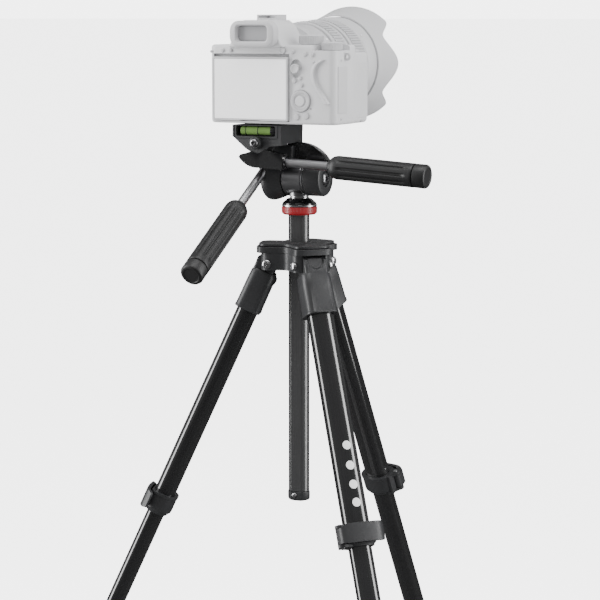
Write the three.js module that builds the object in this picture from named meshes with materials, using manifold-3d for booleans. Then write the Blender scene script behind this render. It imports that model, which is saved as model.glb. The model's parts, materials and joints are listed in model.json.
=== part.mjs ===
// A compact photo tripod with a three-way head and a mirrorless camera on it.
// Millimetres, +Z up. The floor is z = 0 and the origin is under the middle of the whole
// object's box. The lens looks along +Y, and the camera's right-hand side is +X.
import * as THREE from "three";
import { mergeVertices } from "three/addons/utils/BufferGeometryUtils.js";
import Module from "manifold-3d";

const wasm = await Module();
wasm.setup();

const GAP = 0.3;
const DEG = Math.PI / 180;

// Legs
const LEG_ANGLES = [200, 320, 80];
const SPLAY = 24.4 * DEG;
const HINGE_RADIUS = 27.7;
const LEG_REACH = 700;
const HINGE_HEIGHT = LEG_REACH * Math.cos(SPLAY);
const TUBE_SIZES = [
  [19.4, 23.6],
  [16.3, 20.3],
  [13.2, 17.0],
];
const TUBE_WALL = 1.2;
const TUBE_TOPS = [20.5, 212, 427];
const TUBE_ENDS = [249, 465, 684];
const LOCKS = [247, 462];
const LOCK_HEIGHT = 20;
const PIN_X = 5;
const CASTING_END = 47;
const TONGUE_HALF = 11;

// Centre: heights are measured from the plane of the leg hinges
const COLUMN_RADIUS = 9.9;
const COLUMN_WALL = 1.5;
const COLUMN_FLAT_TURN = 34.5 * DEG;
const COLUMN_BOTTOM = -211;
const COLUMN_TOP = 50.5;
const WEB_BOTTOM = -5.5;
const DECK_BOTTOM = 10;
const DECK_TOP = 15.6;
const COVER_TOP = 18.4;
const LOBE_REACH = 38;
const LOCK_KNOB_ANGLE = 140 * DEG;

// Head
const RING_RADIUS = 16;
const RING_BOTTOM = 44.2;
const RING_TOP = 51.4;
const BASE_TOP = 58.7;
const TILT_Z = 77.1;
const BARREL_RADIUS = 16;
const BARREL_LEFT = -11.2;
const BARREL_RIGHT = 10.2;
const CAP_RIGHT = 27;
const HOUSING_RADIUS = 21;
const DOME_RADIUS = 32.4;
const SIDE_X = -27.4;
const SIDE_Z = 109.5;
const PLATFORM = { x0: -52.4, x1: -3.2, y0: -30, y1: 15.4, top: 125.3 };
const VIAL = { x0: -44.7, x1: -11.7, y: -26.2, z: 120.1, radius: 4.1 };
const ROD_RADIUS = 4;
const GRIP_RADIUS = 10.6;
const PAN_HANDLE = { x: -28, y: -14, z: 84.6, drop: 31.4 * DEG, bare: 57, grip: 101 };
const SIDE_HANDLE = { x: 0, y: -24.5, z: 92.4, drop: 3.4 * DEG, bare: 43.5, grip: 94 };

// Camera
const LENS_X = -25;
const SCREW_Y = -4;
const LENS_Z = 177;
const BODY = { x0: -74.5, x1: 52.3, y0: -33, y1: 12, z0: 126.8, z1: 196.7 };
const GRIP_FRONT = 38;
const SCREEN = { x0: -69.5, x1: 6.2, y0: -35.6, y1: -30.4, z0: 129.4, z1: 186 };
const SCREEN_AXIS = { y: -32, z: 184.4 };
const WHEEL = { x: 18, z: 147.5, radius: 9.6 };
const STICK = { x: 13.5, z: 176, radius: 4.2 };
const CUSTOM_BUTTON = { x: 0, z: 191.7, radius: 3 };
const MODE_DIAL = { x: 17, y: -10, radius: 11.2, z0: 197, z1: 205.5 };
const EXPOSURE_DIAL = { x: 40, y: -15, radius: 9.4, z0: 192.2, z1: 199.5 };
const SHUTTER = { x: 40, y: 27, radius: 6, z0: 182, z1: 192.5, travel: 1.2 };

const paint = (color, roughness, metalness = 0) =>
  new THREE.MeshStandardMaterial({ color, roughness, metalness });
const satinPlastic = paint(0x3c3d40, 0.55);
const glossPlastic = paint(0x141416, 0.25);
const blackTube = paint(0x0b0b0c, 0.22, 0.8);
const gunmetal = paint(0x6d6e71, 0.3, 0.9);
const polished = paint(0xb9babc, 0.2, 1);
const redPlastic = paint(0xab1924, 0.4);
const rubber = paint(0x1c1c1e, 0.85);
const vialGreen = paint(0x86ad5a, 0.15);
const paleShell = paint(0xcfcfd0, 0.5);
const paleLens = paint(0xc3c3c4, 0.45);
const paleScreen = paint(0xe9e9ea, 0.25);

// ---- solids ----------------------------------------------------------------------------

function solid(geometry) {
  const plain = geometry.index ? geometry.toNonIndexed() : geometry.clone();
  const bare = new THREE.BufferGeometry();
  bare.setAttribute("position", plain.getAttribute("position"));
  const merged = mergeVertices(bare, 1e-4);
  return new wasm.Manifold(
    new wasm.Mesh({
      numProp: 3,
      vertProperties: new Float32Array(merged.attributes.position.array),
      triVerts: new Uint32Array(merged.index.array),
    }),
  );
}

function geometryOf(manifold) {
  const mesh = manifold.getMesh();
  const geometry = new THREE.BufferGeometry();
  const positions = new THREE.BufferAttribute(new Float32Array(mesh.vertProperties), 3);
  geometry.setAttribute("position", positions);
  geometry.setIndex(new THREE.BufferAttribute(new Uint32Array(mesh.triVerts), 1));
  return geometry;
}

const join = (...parts) =>
  geometryOf(parts.map(solid).reduce((whole, next) => whole.add(next)));
const cut = (stock, ...tools) =>
  geometryOf(tools.map(solid).reduce((left, tool) => left.subtract(tool), solid(stock)));
const common = (a, b) => geometryOf(solid(a).intersect(solid(b)));

function block(x0, x1, y0, y1, z0, z1) {
  const geometry = new THREE.BoxGeometry(x1 - x0, y1 - y0, z1 - z0);
  return geometry.translate((x0 + x1) / 2, (y0 + y1) / 2, (z0 + z1) / 2);
}

// A closed outline of [x, y] points, pushed from z0 to z1; holes are outlines too.
function prism(points, z0, z1, holes = []) {
  const shape = new THREE.Shape(points.map(([x, y]) => new THREE.Vector2(x, y)));
  shape.holes = holes.map((hole) => new THREE.Path(hole.map(([x, y]) => new THREE.Vector2(x, y))));
  const geometry = new THREE.ExtrudeGeometry(shape, { depth: z1 - z0, bevelEnabled: false });
  return geometry.translate(0, 0, z0);
}

// A closed outline of [x, z] points, pushed from y0 to y1.
function slab(points, y0, y1) {
  const geometry = prism(points.map(([x, z]) => [x, -z]), 0, y1 - y0);
  return geometry.rotateX(-Math.PI / 2).translate(0, y0, 0);
}

// A [radius, height] profile turned about Z. It starts and ends on the axis, or closes itself.
function turned(profile, segments = 24) {
  const points = profile.map(([r, z]) => new THREE.Vector2(r, z));
  const geometry = new THREE.LatheGeometry(points, segments);
  geometry.rotateX(Math.PI / 2);
  return geometry;
}

const rod = (radius, z0, z1, segments = 24) =>
  turned([[0, z0], [radius, z0], [radius, z1], [0, z1]], segments);
const alongX = (geometry) => geometry.rotateY(Math.PI / 2);
const alongY = (geometry) => geometry.rotateX(-Math.PI / 2);

// An oval whose sides are flatter than an ellipse's: width sx along x and sy along y.
function oval(sx, sy, count = 16, power = 2.7) {
  const points = [];
  for (let i = 0; i < count; i++) {
    const t = ((i + 0.5) / count) * 2 * Math.PI;
    const c = Math.cos(t);
    const s = Math.sin(t);
    points.push([
      (sx / 2) * Math.sign(c) * Math.abs(c) ** (2 / power),
      (sy / 2) * Math.sign(s) * Math.abs(s) ** (2 / power),
    ]);
  }
  return points;
}

function roundedRect(x0, x1, y0, y1, radius, steps = 3) {
  const points = [];
  const corners = [
    [x1 - radius, y1 - radius, 0],
    [x0 + radius, y1 - radius, 90],
    [x0 + radius, y0 + radius, 180],
    [x1 - radius, y0 + radius, 270],
  ];
  for (const [cx, cy, start] of corners)
    for (let i = 0; i <= steps; i++) {
      const a = (start + (90 * i) / steps) * DEG;
      points.push([cx + radius * Math.cos(a), cy + radius * Math.sin(a)]);
    }
  return points;
}

function named(name, geometry, material) {
  const mesh = new THREE.Mesh(geometry, material);
  mesh.name = name;
  return mesh;
}

// ---- legs: each is drawn along -Z from its hinge, with +X facing outwards --------------

function legTube(stage) {
  const [sx, sy] = TUBE_SIZES[stage];
  const inner = oval(sx - 2 * TUBE_WALL, sy - 2 * TUBE_WALL).reverse();
  return prism(oval(sx, sy), -TUBE_ENDS[stage], -TUBE_TOPS[stage], [inner]);
}

function legCasting() {
  const [sx, sy] = TUBE_SIZES[0];
  const sleeve = prism(roundedRect(-11.6, 12, -14.2, 14.2, 7, 3), -CASTING_END, -9);
  const tongue = prism(roundedRect(-8.5, 10.5, -TONGUE_HALF, TONGUE_HALF, 2, 1), -12, 1);
  const head = rod(8.2, -TONGUE_HALF, TONGUE_HALF, 16).rotateX(Math.PI / 2);
  const shoulder = block(0, 10.5, -TONGUE_HALF, TONGUE_HALF, 0, 3.2);
  const hingeBore = rod(3.4, -20, 20, 12).rotateX(Math.PI / 2);
  const socket = prism(oval(sx + 2 * GAP, sy + 2 * GAP), -CASTING_END - 1, -20);
  const thumb = alongX(rod(8, 0, 6, 16)).translate(10.2, 0, 2);
  return cut(join(sleeve, tongue, head, shoulder), hingeBore, socket, thumb);
}

function lockCollar(stage) {
  const [sx, sy] = TUBE_SIZES[stage];
  const [nx, ny] = TUBE_SIZES[stage + 1];
  const top = -LOCKS[stage] + LOCK_HEIGHT / 2;
  const bottom = top - LOCK_HEIGHT;
  const pinY = -(sy / 2 + 6);
  const ring = prism(oval(sx + 6.4, sy + 7.6), bottom, top);
  const boss = rod(4.2, bottom, top, 12).translate(PIN_X, pinY, 0);
  const cheek = block(-4, PIN_X, pinY - 2.6, pinY + 6, bottom, top);
  const knuckleRoom = rod(4.9, bottom + 2.6, top - 2.6, 12).translate(PIN_X, pinY, 0);
  const rootRoom = block(PIN_X, PIN_X + 20, pinY - 8, pinY + 4.2, bottom + 2.6, top - 2.6);
  const leverRoom = block(sx / 2 + 1.2, sx / 2 + 12, -40, 40, bottom + 2.6, top - 2.6);
  const bore = prism(oval(sx + 2 * GAP, sy + 2 * GAP), bottom + 6, top + 1);
  const throat = prism(oval(nx + 2 * GAP, ny + 2 * GAP), bottom - 1, bottom + 7);
  const pin = rod(1.6, bottom + 1, top - 1, 8).translate(PIN_X, pinY, 0);
  const shell = cut(join(ring, boss, cheek), knuckleRoom, rootRoom, leverRoom, bore, throat);
  return join(shell, pin);
}

// The lever lies round the outward side of its collar. Its pin is the z axis of its own frame.
function lockLever(stage) {
  const [sx, sy] = TUBE_SIZES[stage];
  const pinY = -(sy / 2 + 6);
  const low = -LOCKS[stage] - LOCK_HEIGHT / 2 + 3;
  const high = low + LOCK_HEIGHT - 6;
  const face = sx / 2 + 1.7;
  const outer = [
    [PIN_X + 0.5, pinY - 3.9],
    [face + 2.6, pinY - 1.2],
    [face + 4.4, pinY + 6],
    [face + 4.8, 0],
    [face + 4.2, sy / 2],
    [face + 2.2, sy / 2 + 6],
    [face - 2, sy / 2 + 9.4],
  ];
  const inner = [
    [face - 3.4, sy / 2 + 7.2],
    [face - 0.4, sy / 2 + 4],
    [face + 1.2, sy / 2],
    [face + 1.8, 0],
    [face + 1.4, pinY + 7],
    [face, pinY + 3],
    [PIN_X, pinY + 3.6],
  ];
  const plate = prism([...outer, ...inner], low, high);
  const knuckle = rod(3.9, low + 0.6, high - 0.6, 12).translate(PIN_X, pinY, 0);
  const pinBore = rod(1.9, low - 1, high + 1, 8).translate(PIN_X, pinY, 0);
  const outsideRoom = cut(
    rod(4.6, low - 1, high + 1, 12).translate(PIN_X, pinY, 0),
    block(PIN_X + 1, 40, -60, 40, low - 2, high + 2),
  );
  return cut(join(cut(plate, outsideRoom), knuckle), pinBore);
}

function legFoot() {
  const [sx, sy] = TUBE_SIZES[2];
  const pad = turned(
    [[0, -715], [11.5, -715], [11.5, -690], [9.6, -672], [0, -672]],
    18,
  );
  const socket = prism(oval(sx + 2 * GAP, sy + 2 * GAP), -TUBE_ENDS[2] - GAP, -660);
  const floor = block(-60, 60, -60, 60, -60, 0);
  floor.rotateY(SPLAY);
  floor.translate(0, 0, -LEG_REACH);
  return cut(pad, socket, floor);
}

function leg(index) {
  const prefix = `leg_${index + 1}_`;
  const group = new THREE.Group();
  const angle = LEG_ANGLES[index] * DEG;
  group.position.set(HINGE_RADIUS * Math.cos(angle), HINGE_RADIUS * Math.sin(angle), 0);
  group.rotation.set(0, -SPLAY, angle, "ZYX");
  group.add(named(`${prefix}casting`, legCasting(), satinPlastic));
  ["upper", "middle", "lower"].forEach((place, stage) => {
    group.add(named(`${prefix}${place}_tube`, legTube(stage), blackTube));
  });
  ["upper", "lower"].forEach((place, stage) => {
    group.add(named(`${prefix}${place}_collar`, lockCollar(stage), satinPlastic));
    group.add(named(`${prefix}${place}_lever`, lockLever(stage), satinPlastic));
  });
  group.add(named(`${prefix}foot`, legFoot(), rubber));
  return group;
}

// ---- spider and centre column ----------------------------------------------------------

// The column is round with three flats, each 60 degrees wide.
function columnOutline(radius) {
  const points = [];
  for (let i = 0; i < 3; i++)
    for (let j = 0; j <= 4; j++) {
      const a = COLUMN_FLAT_TURN + (30 + 120 * i + 15 * j) * DEG;
      points.push([radius * Math.cos(a), radius * Math.sin(a)]);
    }
  return points;
}

function column() {
  const bore = columnOutline(COLUMN_RADIUS - COLUMN_WALL).reverse();
  return prism(columnOutline(COLUMN_RADIUS), COLUMN_BOTTOM, COLUMN_TOP, [bore]);
}

function columnEndCap() {
  const inside = columnOutline(COLUMN_RADIUS - COLUMN_WALL - GAP);
  const plug = prism(inside, COLUMN_BOTTOM - 1, COLUMN_BOTTOM + 14);
  const cap = turned([[0, -220.5], [6, -219.8], [10.4, -217.5], [10.6, -211.3], [0, -211.3]], 24);
  return join(plug, cap);
}

// Three rounded lobes, one over each leg, with hollow sides between them.
function lobes(reach, half, waist) {
  const points = [];
  for (const degrees of [...LEG_ANGLES].sort((a, b) => a - b)) {
    const a = degrees * DEG;
    const at = (radial, side) => {
      points.push([
        radial * Math.cos(a) - side * Math.sin(a),
        radial * Math.sin(a) + side * Math.cos(a),
      ]);
    };
    at(reach - 7, -half);
    at(reach - 1.6, -half + 4);
    at(reach, -half * 0.4);
    at(reach, half * 0.4);
    at(reach - 1.6, half - 4);
    at(reach - 7, half);
    const between = (degrees + 60) * DEG;
    points.push([waist * Math.cos(between), waist * Math.sin(between)]);
  }
  return points;
}

function spider() {
  const deck = prism(lobes(LOBE_REACH, 18.5, 21), DECK_BOTTOM, DECK_TOP);
  const webs = prism(lobes(34, 17.6, 20.5), WEB_BOTTOM, DECK_BOTTOM + 1);
  const slots = LEG_ANGLES.map((degrees) =>
    block(16.5, 60, -TONGUE_HALF - 0.5, TONGUE_HALF + 0.5, -60, DECK_BOTTOM).rotateZ(degrees * DEG),
  );
  const bore = prism(columnOutline(COLUMN_RADIUS + GAP), -60, 60);
  const knobHole = alongX(rod(3.6, 0, 40, 16)).rotateZ(LOCK_KNOB_ANGLE).translate(0, 0, 2);
  const pins = LEG_ANGLES.map((degrees) =>
    rod(3, -17.4, 17.4, 14)
      .rotateX(Math.PI / 2)
      .translate(HINGE_RADIUS, 0, 0)
      .rotateZ(degrees * DEG),
  );
  return join(cut(join(deck, webs), ...slots, bore, knobHole), ...pins);
}

function spiderCover() {
  const plate = prism(lobes(LOBE_REACH - 1.8, 16.6, 20), DECK_TOP + GAP, COVER_TOP);
  const boss = rod(15, DECK_TOP + GAP, COVER_TOP + 1.4, 32);
  const bore = prism(columnOutline(COLUMN_RADIUS + GAP), 0, 60);
  return cut(join(plate, boss), bore);
}

function columnLockKnob() {
  const screw = rod(3.2, 10.8, 30, 16);
  const grip = turned([[0, 27], [5, 27], [9, 30], [9, 44], [7.5, 46], [0, 46]], 18);
  return alongX(join(screw, grip)).rotateZ(LOCK_KNOB_ANGLE).translate(0, 0, 2);
}

// ---- three-way head --------------------------------------------------------------------

function lockRing() {
  const ring = turned(
    [[0, RING_BOTTOM], [13.2, RING_BOTTOM], [RING_RADIUS, RING_BOTTOM + 3],
      [RING_RADIUS, RING_TOP], [0, RING_TOP]],
  );
  return cut(ring, rod(COLUMN_RADIUS + GAP, 40, 60));
}

function headBase() {
  const disc = turned(
    [[0, RING_TOP + GAP], [15.6, RING_TOP + GAP], [15.6, 54.5], [11, BASE_TOP], [0, BASE_TOP]],
  );
  return join(disc, rod(6.8, 30, 55, 16));
}

function panBarrel() {
  const barrel = alongX(rod(BARREL_RADIUS, BARREL_LEFT, BARREL_RIGHT)).translate(0, 0, TILT_Z);
  const neck = rod(8.6, BASE_TOP + GAP, TILT_Z - 8);
  const shaftBore = alongX(rod(5.4, BARREL_LEFT - 1, 0)).translate(0, 0, TILT_Z);
  return cut(join(barrel, neck), shaftBore);
}

function barrelEndCap() {
  const x0 = BARREL_RIGHT + GAP;
  const cap = turned(
    [[0, x0], [BARREL_RADIUS, x0], [BARREL_RADIUS, CAP_RIGHT - 1.5], [BARREL_RADIUS - 1.5, CAP_RIGHT],
      [7, CAP_RIGHT], [6.2, CAP_RIGHT - 1.6], [0, CAP_RIGHT - 1.6]],
  );
  return alongX(cap).translate(0, 0, TILT_Z);
}

// Places a piece drawn along +Z, from the mouth of its socket outwards, on a handle's line.
function onPanHandle(geometry) {
  const { x, y, z, drop } = PAN_HANDLE;
  return geometry.rotateX(Math.PI / 2 + drop).translate(x, y, z);
}

function onSideHandle(geometry) {
  const { x, y, z, drop } = SIDE_HANDLE;
  return geometry.rotateY(Math.PI / 2 + drop).translate(x, y, z);
}

// The tilting half of the head: a flared cup on the left with the shaft that runs in the
// barrel, the domed shell behind the barrel, the socket of the pan handle, and the eye
// that carries the platform's hinge pin.
function tiltHousing() {
  const face = BARREL_LEFT - GAP;
  const cup = alongX(
    turned(
      [[0, -31], [15, -31], [19.6, -29.6], [HOUSING_RADIUS, -26.5], [20, -21], [16.6, face],
        [5, face], [5, -1], [0, -1]],
    ),
  ).translate(0, 0, TILT_Z);
  const ball = new THREE.SphereGeometry(DOME_RADIUS, 24, 12).translate(0, 0, TILT_Z);
  const dome = common(ball, block(-40, 40, -1.5, 24, TILT_Z + 4, TILT_Z + 40));
  const eye = alongY(rod(8.2, -9, 13, 24)).translate(SIDE_X, 0, SIDE_Z);
  const web = block(SIDE_X, -3, -9, 13, TILT_Z + 8, SIDE_Z);
  const socket = onPanHandle(rod(6.4, -16, 0, 20));
  const body = join(dome, eye, web);
  const barrelRoom = alongX(rod(BARREL_RADIUS + 0.6, face, 60)).translate(0, 0, TILT_Z);
  const pinBore = alongY(rod(3.4, -40, 40, 18)).translate(SIDE_X, 0, SIDE_Z);
  const rodBore = onPanHandle(rod(ROD_RADIUS + GAP, -10, 30, 20));
  return cut(join(cut(body, barrelRoom), cup, socket), pinBore, rodBore);
}

function hingePin() {
  const profile = [[0, -36.5], [5, -36.5], [5.8, -35.7], [5.8, -30.3], [3, -30.3], [3, 11], [0, 11]];
  return alongY(turned(profile, 24)).translate(SIDE_X, 0, SIDE_Z);
}

function platform() {
  const { x0, x1, y0, y1, top } = PLATFORM;
  const deck = prism(roundedRect(x0, x1, y0, y1, 3, 2), SIDE_Z + 9.3, top);
  const front = [
    [x0, top], [x0, 115], [-39.3, 104.6], [-34.6, 102], [-31, 100.6], [SIDE_X, 100],
    [-23.8, 100.6], [-20, 102.6], [-16.5, 105.6], [x1, 107.6], [x1, top],
  ];
  const apron = slab(front, y0, -18);
  const wall = block(x1 - 4.8, x1, y0 + 3, y1 - 3, 110.9, top - 1);
  const pocket = block(-47, -9, -20.5, 12.5, 120.4, top + 1);
  const vialSlot = block(-48.4, -9.4, y0 - 1, -21.6, 115.6, 124.4);
  const pinBore = alongY(rod(3.7, -40, 0, 18)).translate(SIDE_X, 0, SIDE_Z);
  return cut(join(deck, apron, wall), pocket, vialSlot, pinBore);
}

// The clamp that carries the side handle hangs under the platform, round its hinge pin.
function handleClamp() {
  const outline = [];
  for (let i = 0; i <= 6; i++) {
    const a = (207 + 13 * i) * DEG;
    outline.push([22.5 * Math.cos(a), 22.5 * Math.sin(a)]);
  }
  outline.push([10, -22.8], [25.5, -23.4], [25.5, -9.6], [14, -8.4]);
  for (let i = 0; i <= 4; i++) {
    const a = (323 - 22 * i) * DEG;
    outline.push([11 * Math.cos(a), 11 * Math.sin(a)]);
  }
  outline.push([-13, -7.6]);
  const arm = slab(outline, -31, -20.5).translate(SIDE_X, 0, SIDE_Z);
  return cut(arm, onSideHandle(rod(ROD_RADIUS + GAP, -14, 30, 20)));
}

function bubbleVial() {
  const { x0, x1, y, z, radius } = VIAL;
  return alongX(rod(radius, x0, x1, 20)).translate(0, y, z);
}

function quickReleasePlate() {
  const plate = prism(roundedRect(-46.6, -9.4, -20, 12, 3, 2), 120.8, 126.4);
  const screwHead = rod(6.5, 119, 122.4, 18).translate(LENS_X, SCREW_Y, 0);
  return cut(plate, screwHead);
}

const quickReleaseLever = () =>
  prism(roundedRect(-49.5, -16, 15.9, 21, 2.4, 2), 117, 122.6);

// A handle's rod ends inside its grip.
const ROD_IN_GRIP = 14;
const handleRod = (bare) => rod(ROD_RADIUS, -9, bare + ROD_IN_GRIP, 16);

// A moulded grip with a rounded shoulder and a groove before its flat end.
function handleGrip(bare, length) {
  const r = GRIP_RADIUS;
  const end = bare + length;
  const stock = turned(
    [[0, bare], [r - 4.5, bare], [r - 1.4, bare + 2.6], [r, bare + 7], [r, end - 13],
      [r - 0.6, end - 12], [r, end - 11], [r, end - 1.6], [r - 1.6, end], [0, end]],
    20,
  );
  return cut(stock, rod(ROD_RADIUS + GAP, bare - 1, bare + ROD_IN_GRIP + GAP, 16));
}

// ---- camera ----------------------------------------------------------------------------

const onLens = (geometry) => alongY(geometry).translate(LENS_X, 0, LENS_Z);
const onBack = (radius, y0, y1, place, segments = 24) =>
  alongY(rod(radius, y0, y1, segments)).translate(place.x, 0, place.z);

function cameraBody() {
  const { x0, x1, y0, y1, z0, z1 } = BODY;
  const shell = prism(roundedRect(x0, x1, y0, y1, 6, 3), z0, z1);
  const handGrip = prism(roundedRect(25, x1, -5, GRIP_FRONT, 8, 3), z0, 190);
  const humpFront = [[-52, 195], [-45, 211], [-37, 218.6], [-13, 218.6], [-5, 211], [3, 195]];
  const hump = slab(humpFront, -38, 7);
  const eyepiece = slab(roundedRect(-46.2, -1.4, 195.2, 217.6, 5, 2), -47, -36);
  const shoe = block(-35, -15, -14, 4, 218, 223.3);
  const mount = onLens(rod(33, 11, 15));
  const whole = join(shell, handGrip, hump, eyepiece, shoe, mount);
  const screenRoom = block(SCREEN.x0 - 0.5, SCREEN.x1 + 0.5, y0 - 1, -28.6, 128.9, 188.8);
  const shoeSlot = block(-33, -17, -15, 2, 220.2, 222.2);
  const shoeMouth = block(-31, -19, -15, 2, 221, 224);
  const eyeWindow = block(-38.5, -9.5, -48, -43, 200.5, 213);
  const wheelRoom = onBack(WHEEL.radius + 0.4, y0 - 1, -30.4, WHEEL);
  const stickRoom = onBack(STICK.radius + 1.2, y0 - 1, -30, STICK);
  const buttonRoom = onBack(CUSTOM_BUTTON.radius + 0.3, y0 - 1, -30, CUSTOM_BUTTON);
  const shutterRoom = rod(SHUTTER.radius + 0.4, SHUTTER.z0 - SHUTTER.travel - 0.6, 200);
  shutterRoom.translate(SHUTTER.x, SHUTTER.y, 0);
  const dialStep = block(29, 60, -40, -4.6, EXPOSURE_DIAL.z0 - GAP, 210);
  const tripodSocket = rod(3.3, 120, 134, 16).translate(LENS_X, SCREW_Y, 0);
  return cut(
    whole, screenRoom, shoeSlot, shoeMouth, eyeWindow, wheelRoom, stickRoom, buttonRoom,
    shutterRoom, dialStep, tripodSocket,
  );
}

function lensBarrel() {
  const profile = [
    [0, 15.3], [33, 15.3], [33, 18], [37.5, 19.4], [37.5, 52], [36, 52], [36, 111.6],
    [41, 112], [44.2, 120], [44.2, 132], [43.6, 133], [40, 133], [37, 121], [0, 117],
  ];
  return onLens(turned(profile, 28));
}

const RING_BORE = 36.3;

function lensRing(y0, y1, radius) {
  const profile = [
    [RING_BORE, y0], [radius - 1, y0], [radius, y0 + 1], [radius, y1 - 1], [radius - 1, y1],
    [RING_BORE, y1], [RING_BORE, y0],
  ];
  return onLens(turned(profile, 28));
}

const smooth = (t) => t * t * (3 - 2 * t);

// How far forward the hood's rim reaches at an angle from the top: long petals above and
// below, short ones at the sides, and a hollow between each two.
function hoodFront(angle) {
  const fold = Math.asin(Math.abs(Math.sin(angle))) / DEG;
  if (fold < 42) return 160;
  if (fold < 59) return 141 + 19 * smooth((59 - fold) / 17);
  return 141 + 13 * smooth((fold - 59) / 31);
}

function lensHood() {
  const steps = 40;
  const wall = 1.8;
  const rings = [124, 140.5];
  const outer = (y) => 46.4 + 7.8 * ((y - 124) / 36) ** 1.1;
  const positions = [];
  for (let i = 0; i < steps; i++) {
    const angle = (i / steps) * 2 * Math.PI;
    const ys = [...rings, hoodFront(angle) + 0.01];
    const outside = ys.map((y) => [outer(y), y]);
    const inside = [...ys].reverse().map((y) => [outer(y) - wall, y]);
    const loop = [...outside, ...inside];
    for (const [r, y] of loop)
      positions.push(LENS_X + r * Math.sin(angle), y, LENS_Z + r * Math.cos(angle));
  }
  const ring = 2 * (rings.length + 1);
  const index = [];
  for (let i = 0; i < steps; i++)
    for (let j = 0; j < ring; j++) {
      const a = i * ring + j;
      const b = i * ring + ((j + 1) % ring);
      const c = ((i + 1) % steps) * ring + ((j + 1) % ring);
      const d = ((i + 1) % steps) * ring + j;
      index.push(a, c, b, a, d, c);
    }
  const geometry = new THREE.BufferGeometry();
  geometry.setAttribute("position", new THREE.Float32BufferAttribute(positions, 3));
  geometry.setIndex(index);
  return geometry;
}

const rearScreen = () =>
  block(SCREEN.x0, SCREEN.x1, SCREEN.y0, SCREEN.y1, SCREEN.z0, SCREEN.z1);

// A dial or a round button that stands on the camera's top.
const onTop = (part) => rod(part.radius, part.z0, part.z1).translate(part.x, part.y, 0);

function joystick() {
  const stalk = alongY(
    turned([[0, -36.4], [STICK.radius, -36.4], [STICK.radius, -34.6], [2, -33.6], [2, -30.4], [0, -30.4]], 20),
  );
  return stalk.translate(STICK.x, 0, STICK.z);
}

// ---- assembly --------------------------------------------------------------------------

const assembly = new THREE.Group();
assembly.add(...LEG_ANGLES.map((_, index) => leg(index)));
assembly.add(
  named("spider", spider(), satinPlastic),
  named("spider_cover", spiderCover(), satinPlastic),
  named("column", column(), blackTube),
  named("column_end_cap", columnEndCap(), satinPlastic),
  named("column_lock_knob", columnLockKnob(), satinPlastic),
  named("lock_ring", lockRing(), redPlastic),
  named("head_base", headBase(), satinPlastic),
  named("pan_barrel", panBarrel(), gunmetal),
  named("barrel_end_cap", barrelEndCap(), satinPlastic),
  named("tilt_housing", tiltHousing(), satinPlastic),
  named("hinge_pin", hingePin(), satinPlastic),
  named("platform", platform(), satinPlastic),
  named("handle_clamp", handleClamp(), glossPlastic),
  named("bubble_vial", bubbleVial(), vialGreen),
  named("quick_release_plate", quickReleasePlate(), satinPlastic),
  named("quick_release_lever", quickReleaseLever(), satinPlastic),
  named("pan_rod", onPanHandle(handleRod(PAN_HANDLE.bare)), gunmetal),
  named("pan_grip", onPanHandle(handleGrip(PAN_HANDLE.bare, PAN_HANDLE.grip)), rubber),
  named("side_rod", onSideHandle(handleRod(SIDE_HANDLE.bare)), polished),
  named("side_grip", onSideHandle(handleGrip(SIDE_HANDLE.bare, SIDE_HANDLE.grip)), rubber),
);
assembly.add(
  named("camera_body", cameraBody(), paleShell),
  named("rear_screen", rearScreen(), paleScreen),
  named("control_wheel", onBack(WHEEL.radius, -34.8, -30.8, WHEEL), paleShell),
  named("joystick", joystick(), paleShell),
  named("custom_button", onBack(CUSTOM_BUTTON.radius, -34.4, -31.4, CUSTOM_BUTTON, 20), paleShell),
  named("mode_dial", onTop(MODE_DIAL), paleShell),
  named("exposure_dial", onTop(EXPOSURE_DIAL), paleShell),
  named("shutter_button", onTop(SHUTTER), paleShell),
  named("lens_barrel", lensBarrel(), paleLens),
  named("zoom_ring", lensRing(52.4, 80.4, 40.4), paleLens),
  named("focus_ring", lensRing(81, 111.2, 42), paleLens),
  named("lens_hood", lensHood(), paleLens),
);

// Stand the feet on the floor, with the middle of the whole box over the origin.
assembly.position.z = HINGE_HEIGHT;
assembly.updateMatrixWorld(true);
const extent = new THREE.Box3().setFromObject(assembly, true);
const middle = extent.getCenter(new THREE.Vector3());
assembly.position.set(-middle.x, -middle.y, HINGE_HEIGHT);

const tripod = new THREE.Group();
tripod.add(assembly);
export default tripod;
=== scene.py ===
"""A compact tripod with a three-way head and a mirrorless camera on it, built piece by piece."""
import json
import math

import bmesh
import bpy
from mathutils import Matrix, Vector


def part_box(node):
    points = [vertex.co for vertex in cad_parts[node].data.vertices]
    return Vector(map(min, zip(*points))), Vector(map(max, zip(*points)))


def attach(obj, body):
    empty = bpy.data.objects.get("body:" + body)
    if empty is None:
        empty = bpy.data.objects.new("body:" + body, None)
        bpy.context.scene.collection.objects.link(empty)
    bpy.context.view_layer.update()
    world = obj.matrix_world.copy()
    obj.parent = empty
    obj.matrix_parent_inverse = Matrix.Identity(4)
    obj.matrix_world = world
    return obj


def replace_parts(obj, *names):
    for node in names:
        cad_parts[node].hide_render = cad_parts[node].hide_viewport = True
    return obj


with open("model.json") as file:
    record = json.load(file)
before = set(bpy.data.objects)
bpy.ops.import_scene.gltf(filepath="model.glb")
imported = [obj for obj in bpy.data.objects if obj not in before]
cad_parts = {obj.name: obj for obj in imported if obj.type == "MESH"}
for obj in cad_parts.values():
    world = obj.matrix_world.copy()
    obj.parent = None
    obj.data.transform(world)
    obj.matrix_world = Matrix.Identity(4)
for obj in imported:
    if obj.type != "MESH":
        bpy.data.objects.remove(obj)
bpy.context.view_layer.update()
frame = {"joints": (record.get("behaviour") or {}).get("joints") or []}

# ---- Leg tubes ---------------------------------------------------------------------------
# Each leg has three tubes that slide one inside the next. They are drawn from aluminium in a
# flattened oval, anodised glossy black, and cut to length.
MM = 0.001
WELD = 1e-4
BUMP_HEIGHT = 0.0002
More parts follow.
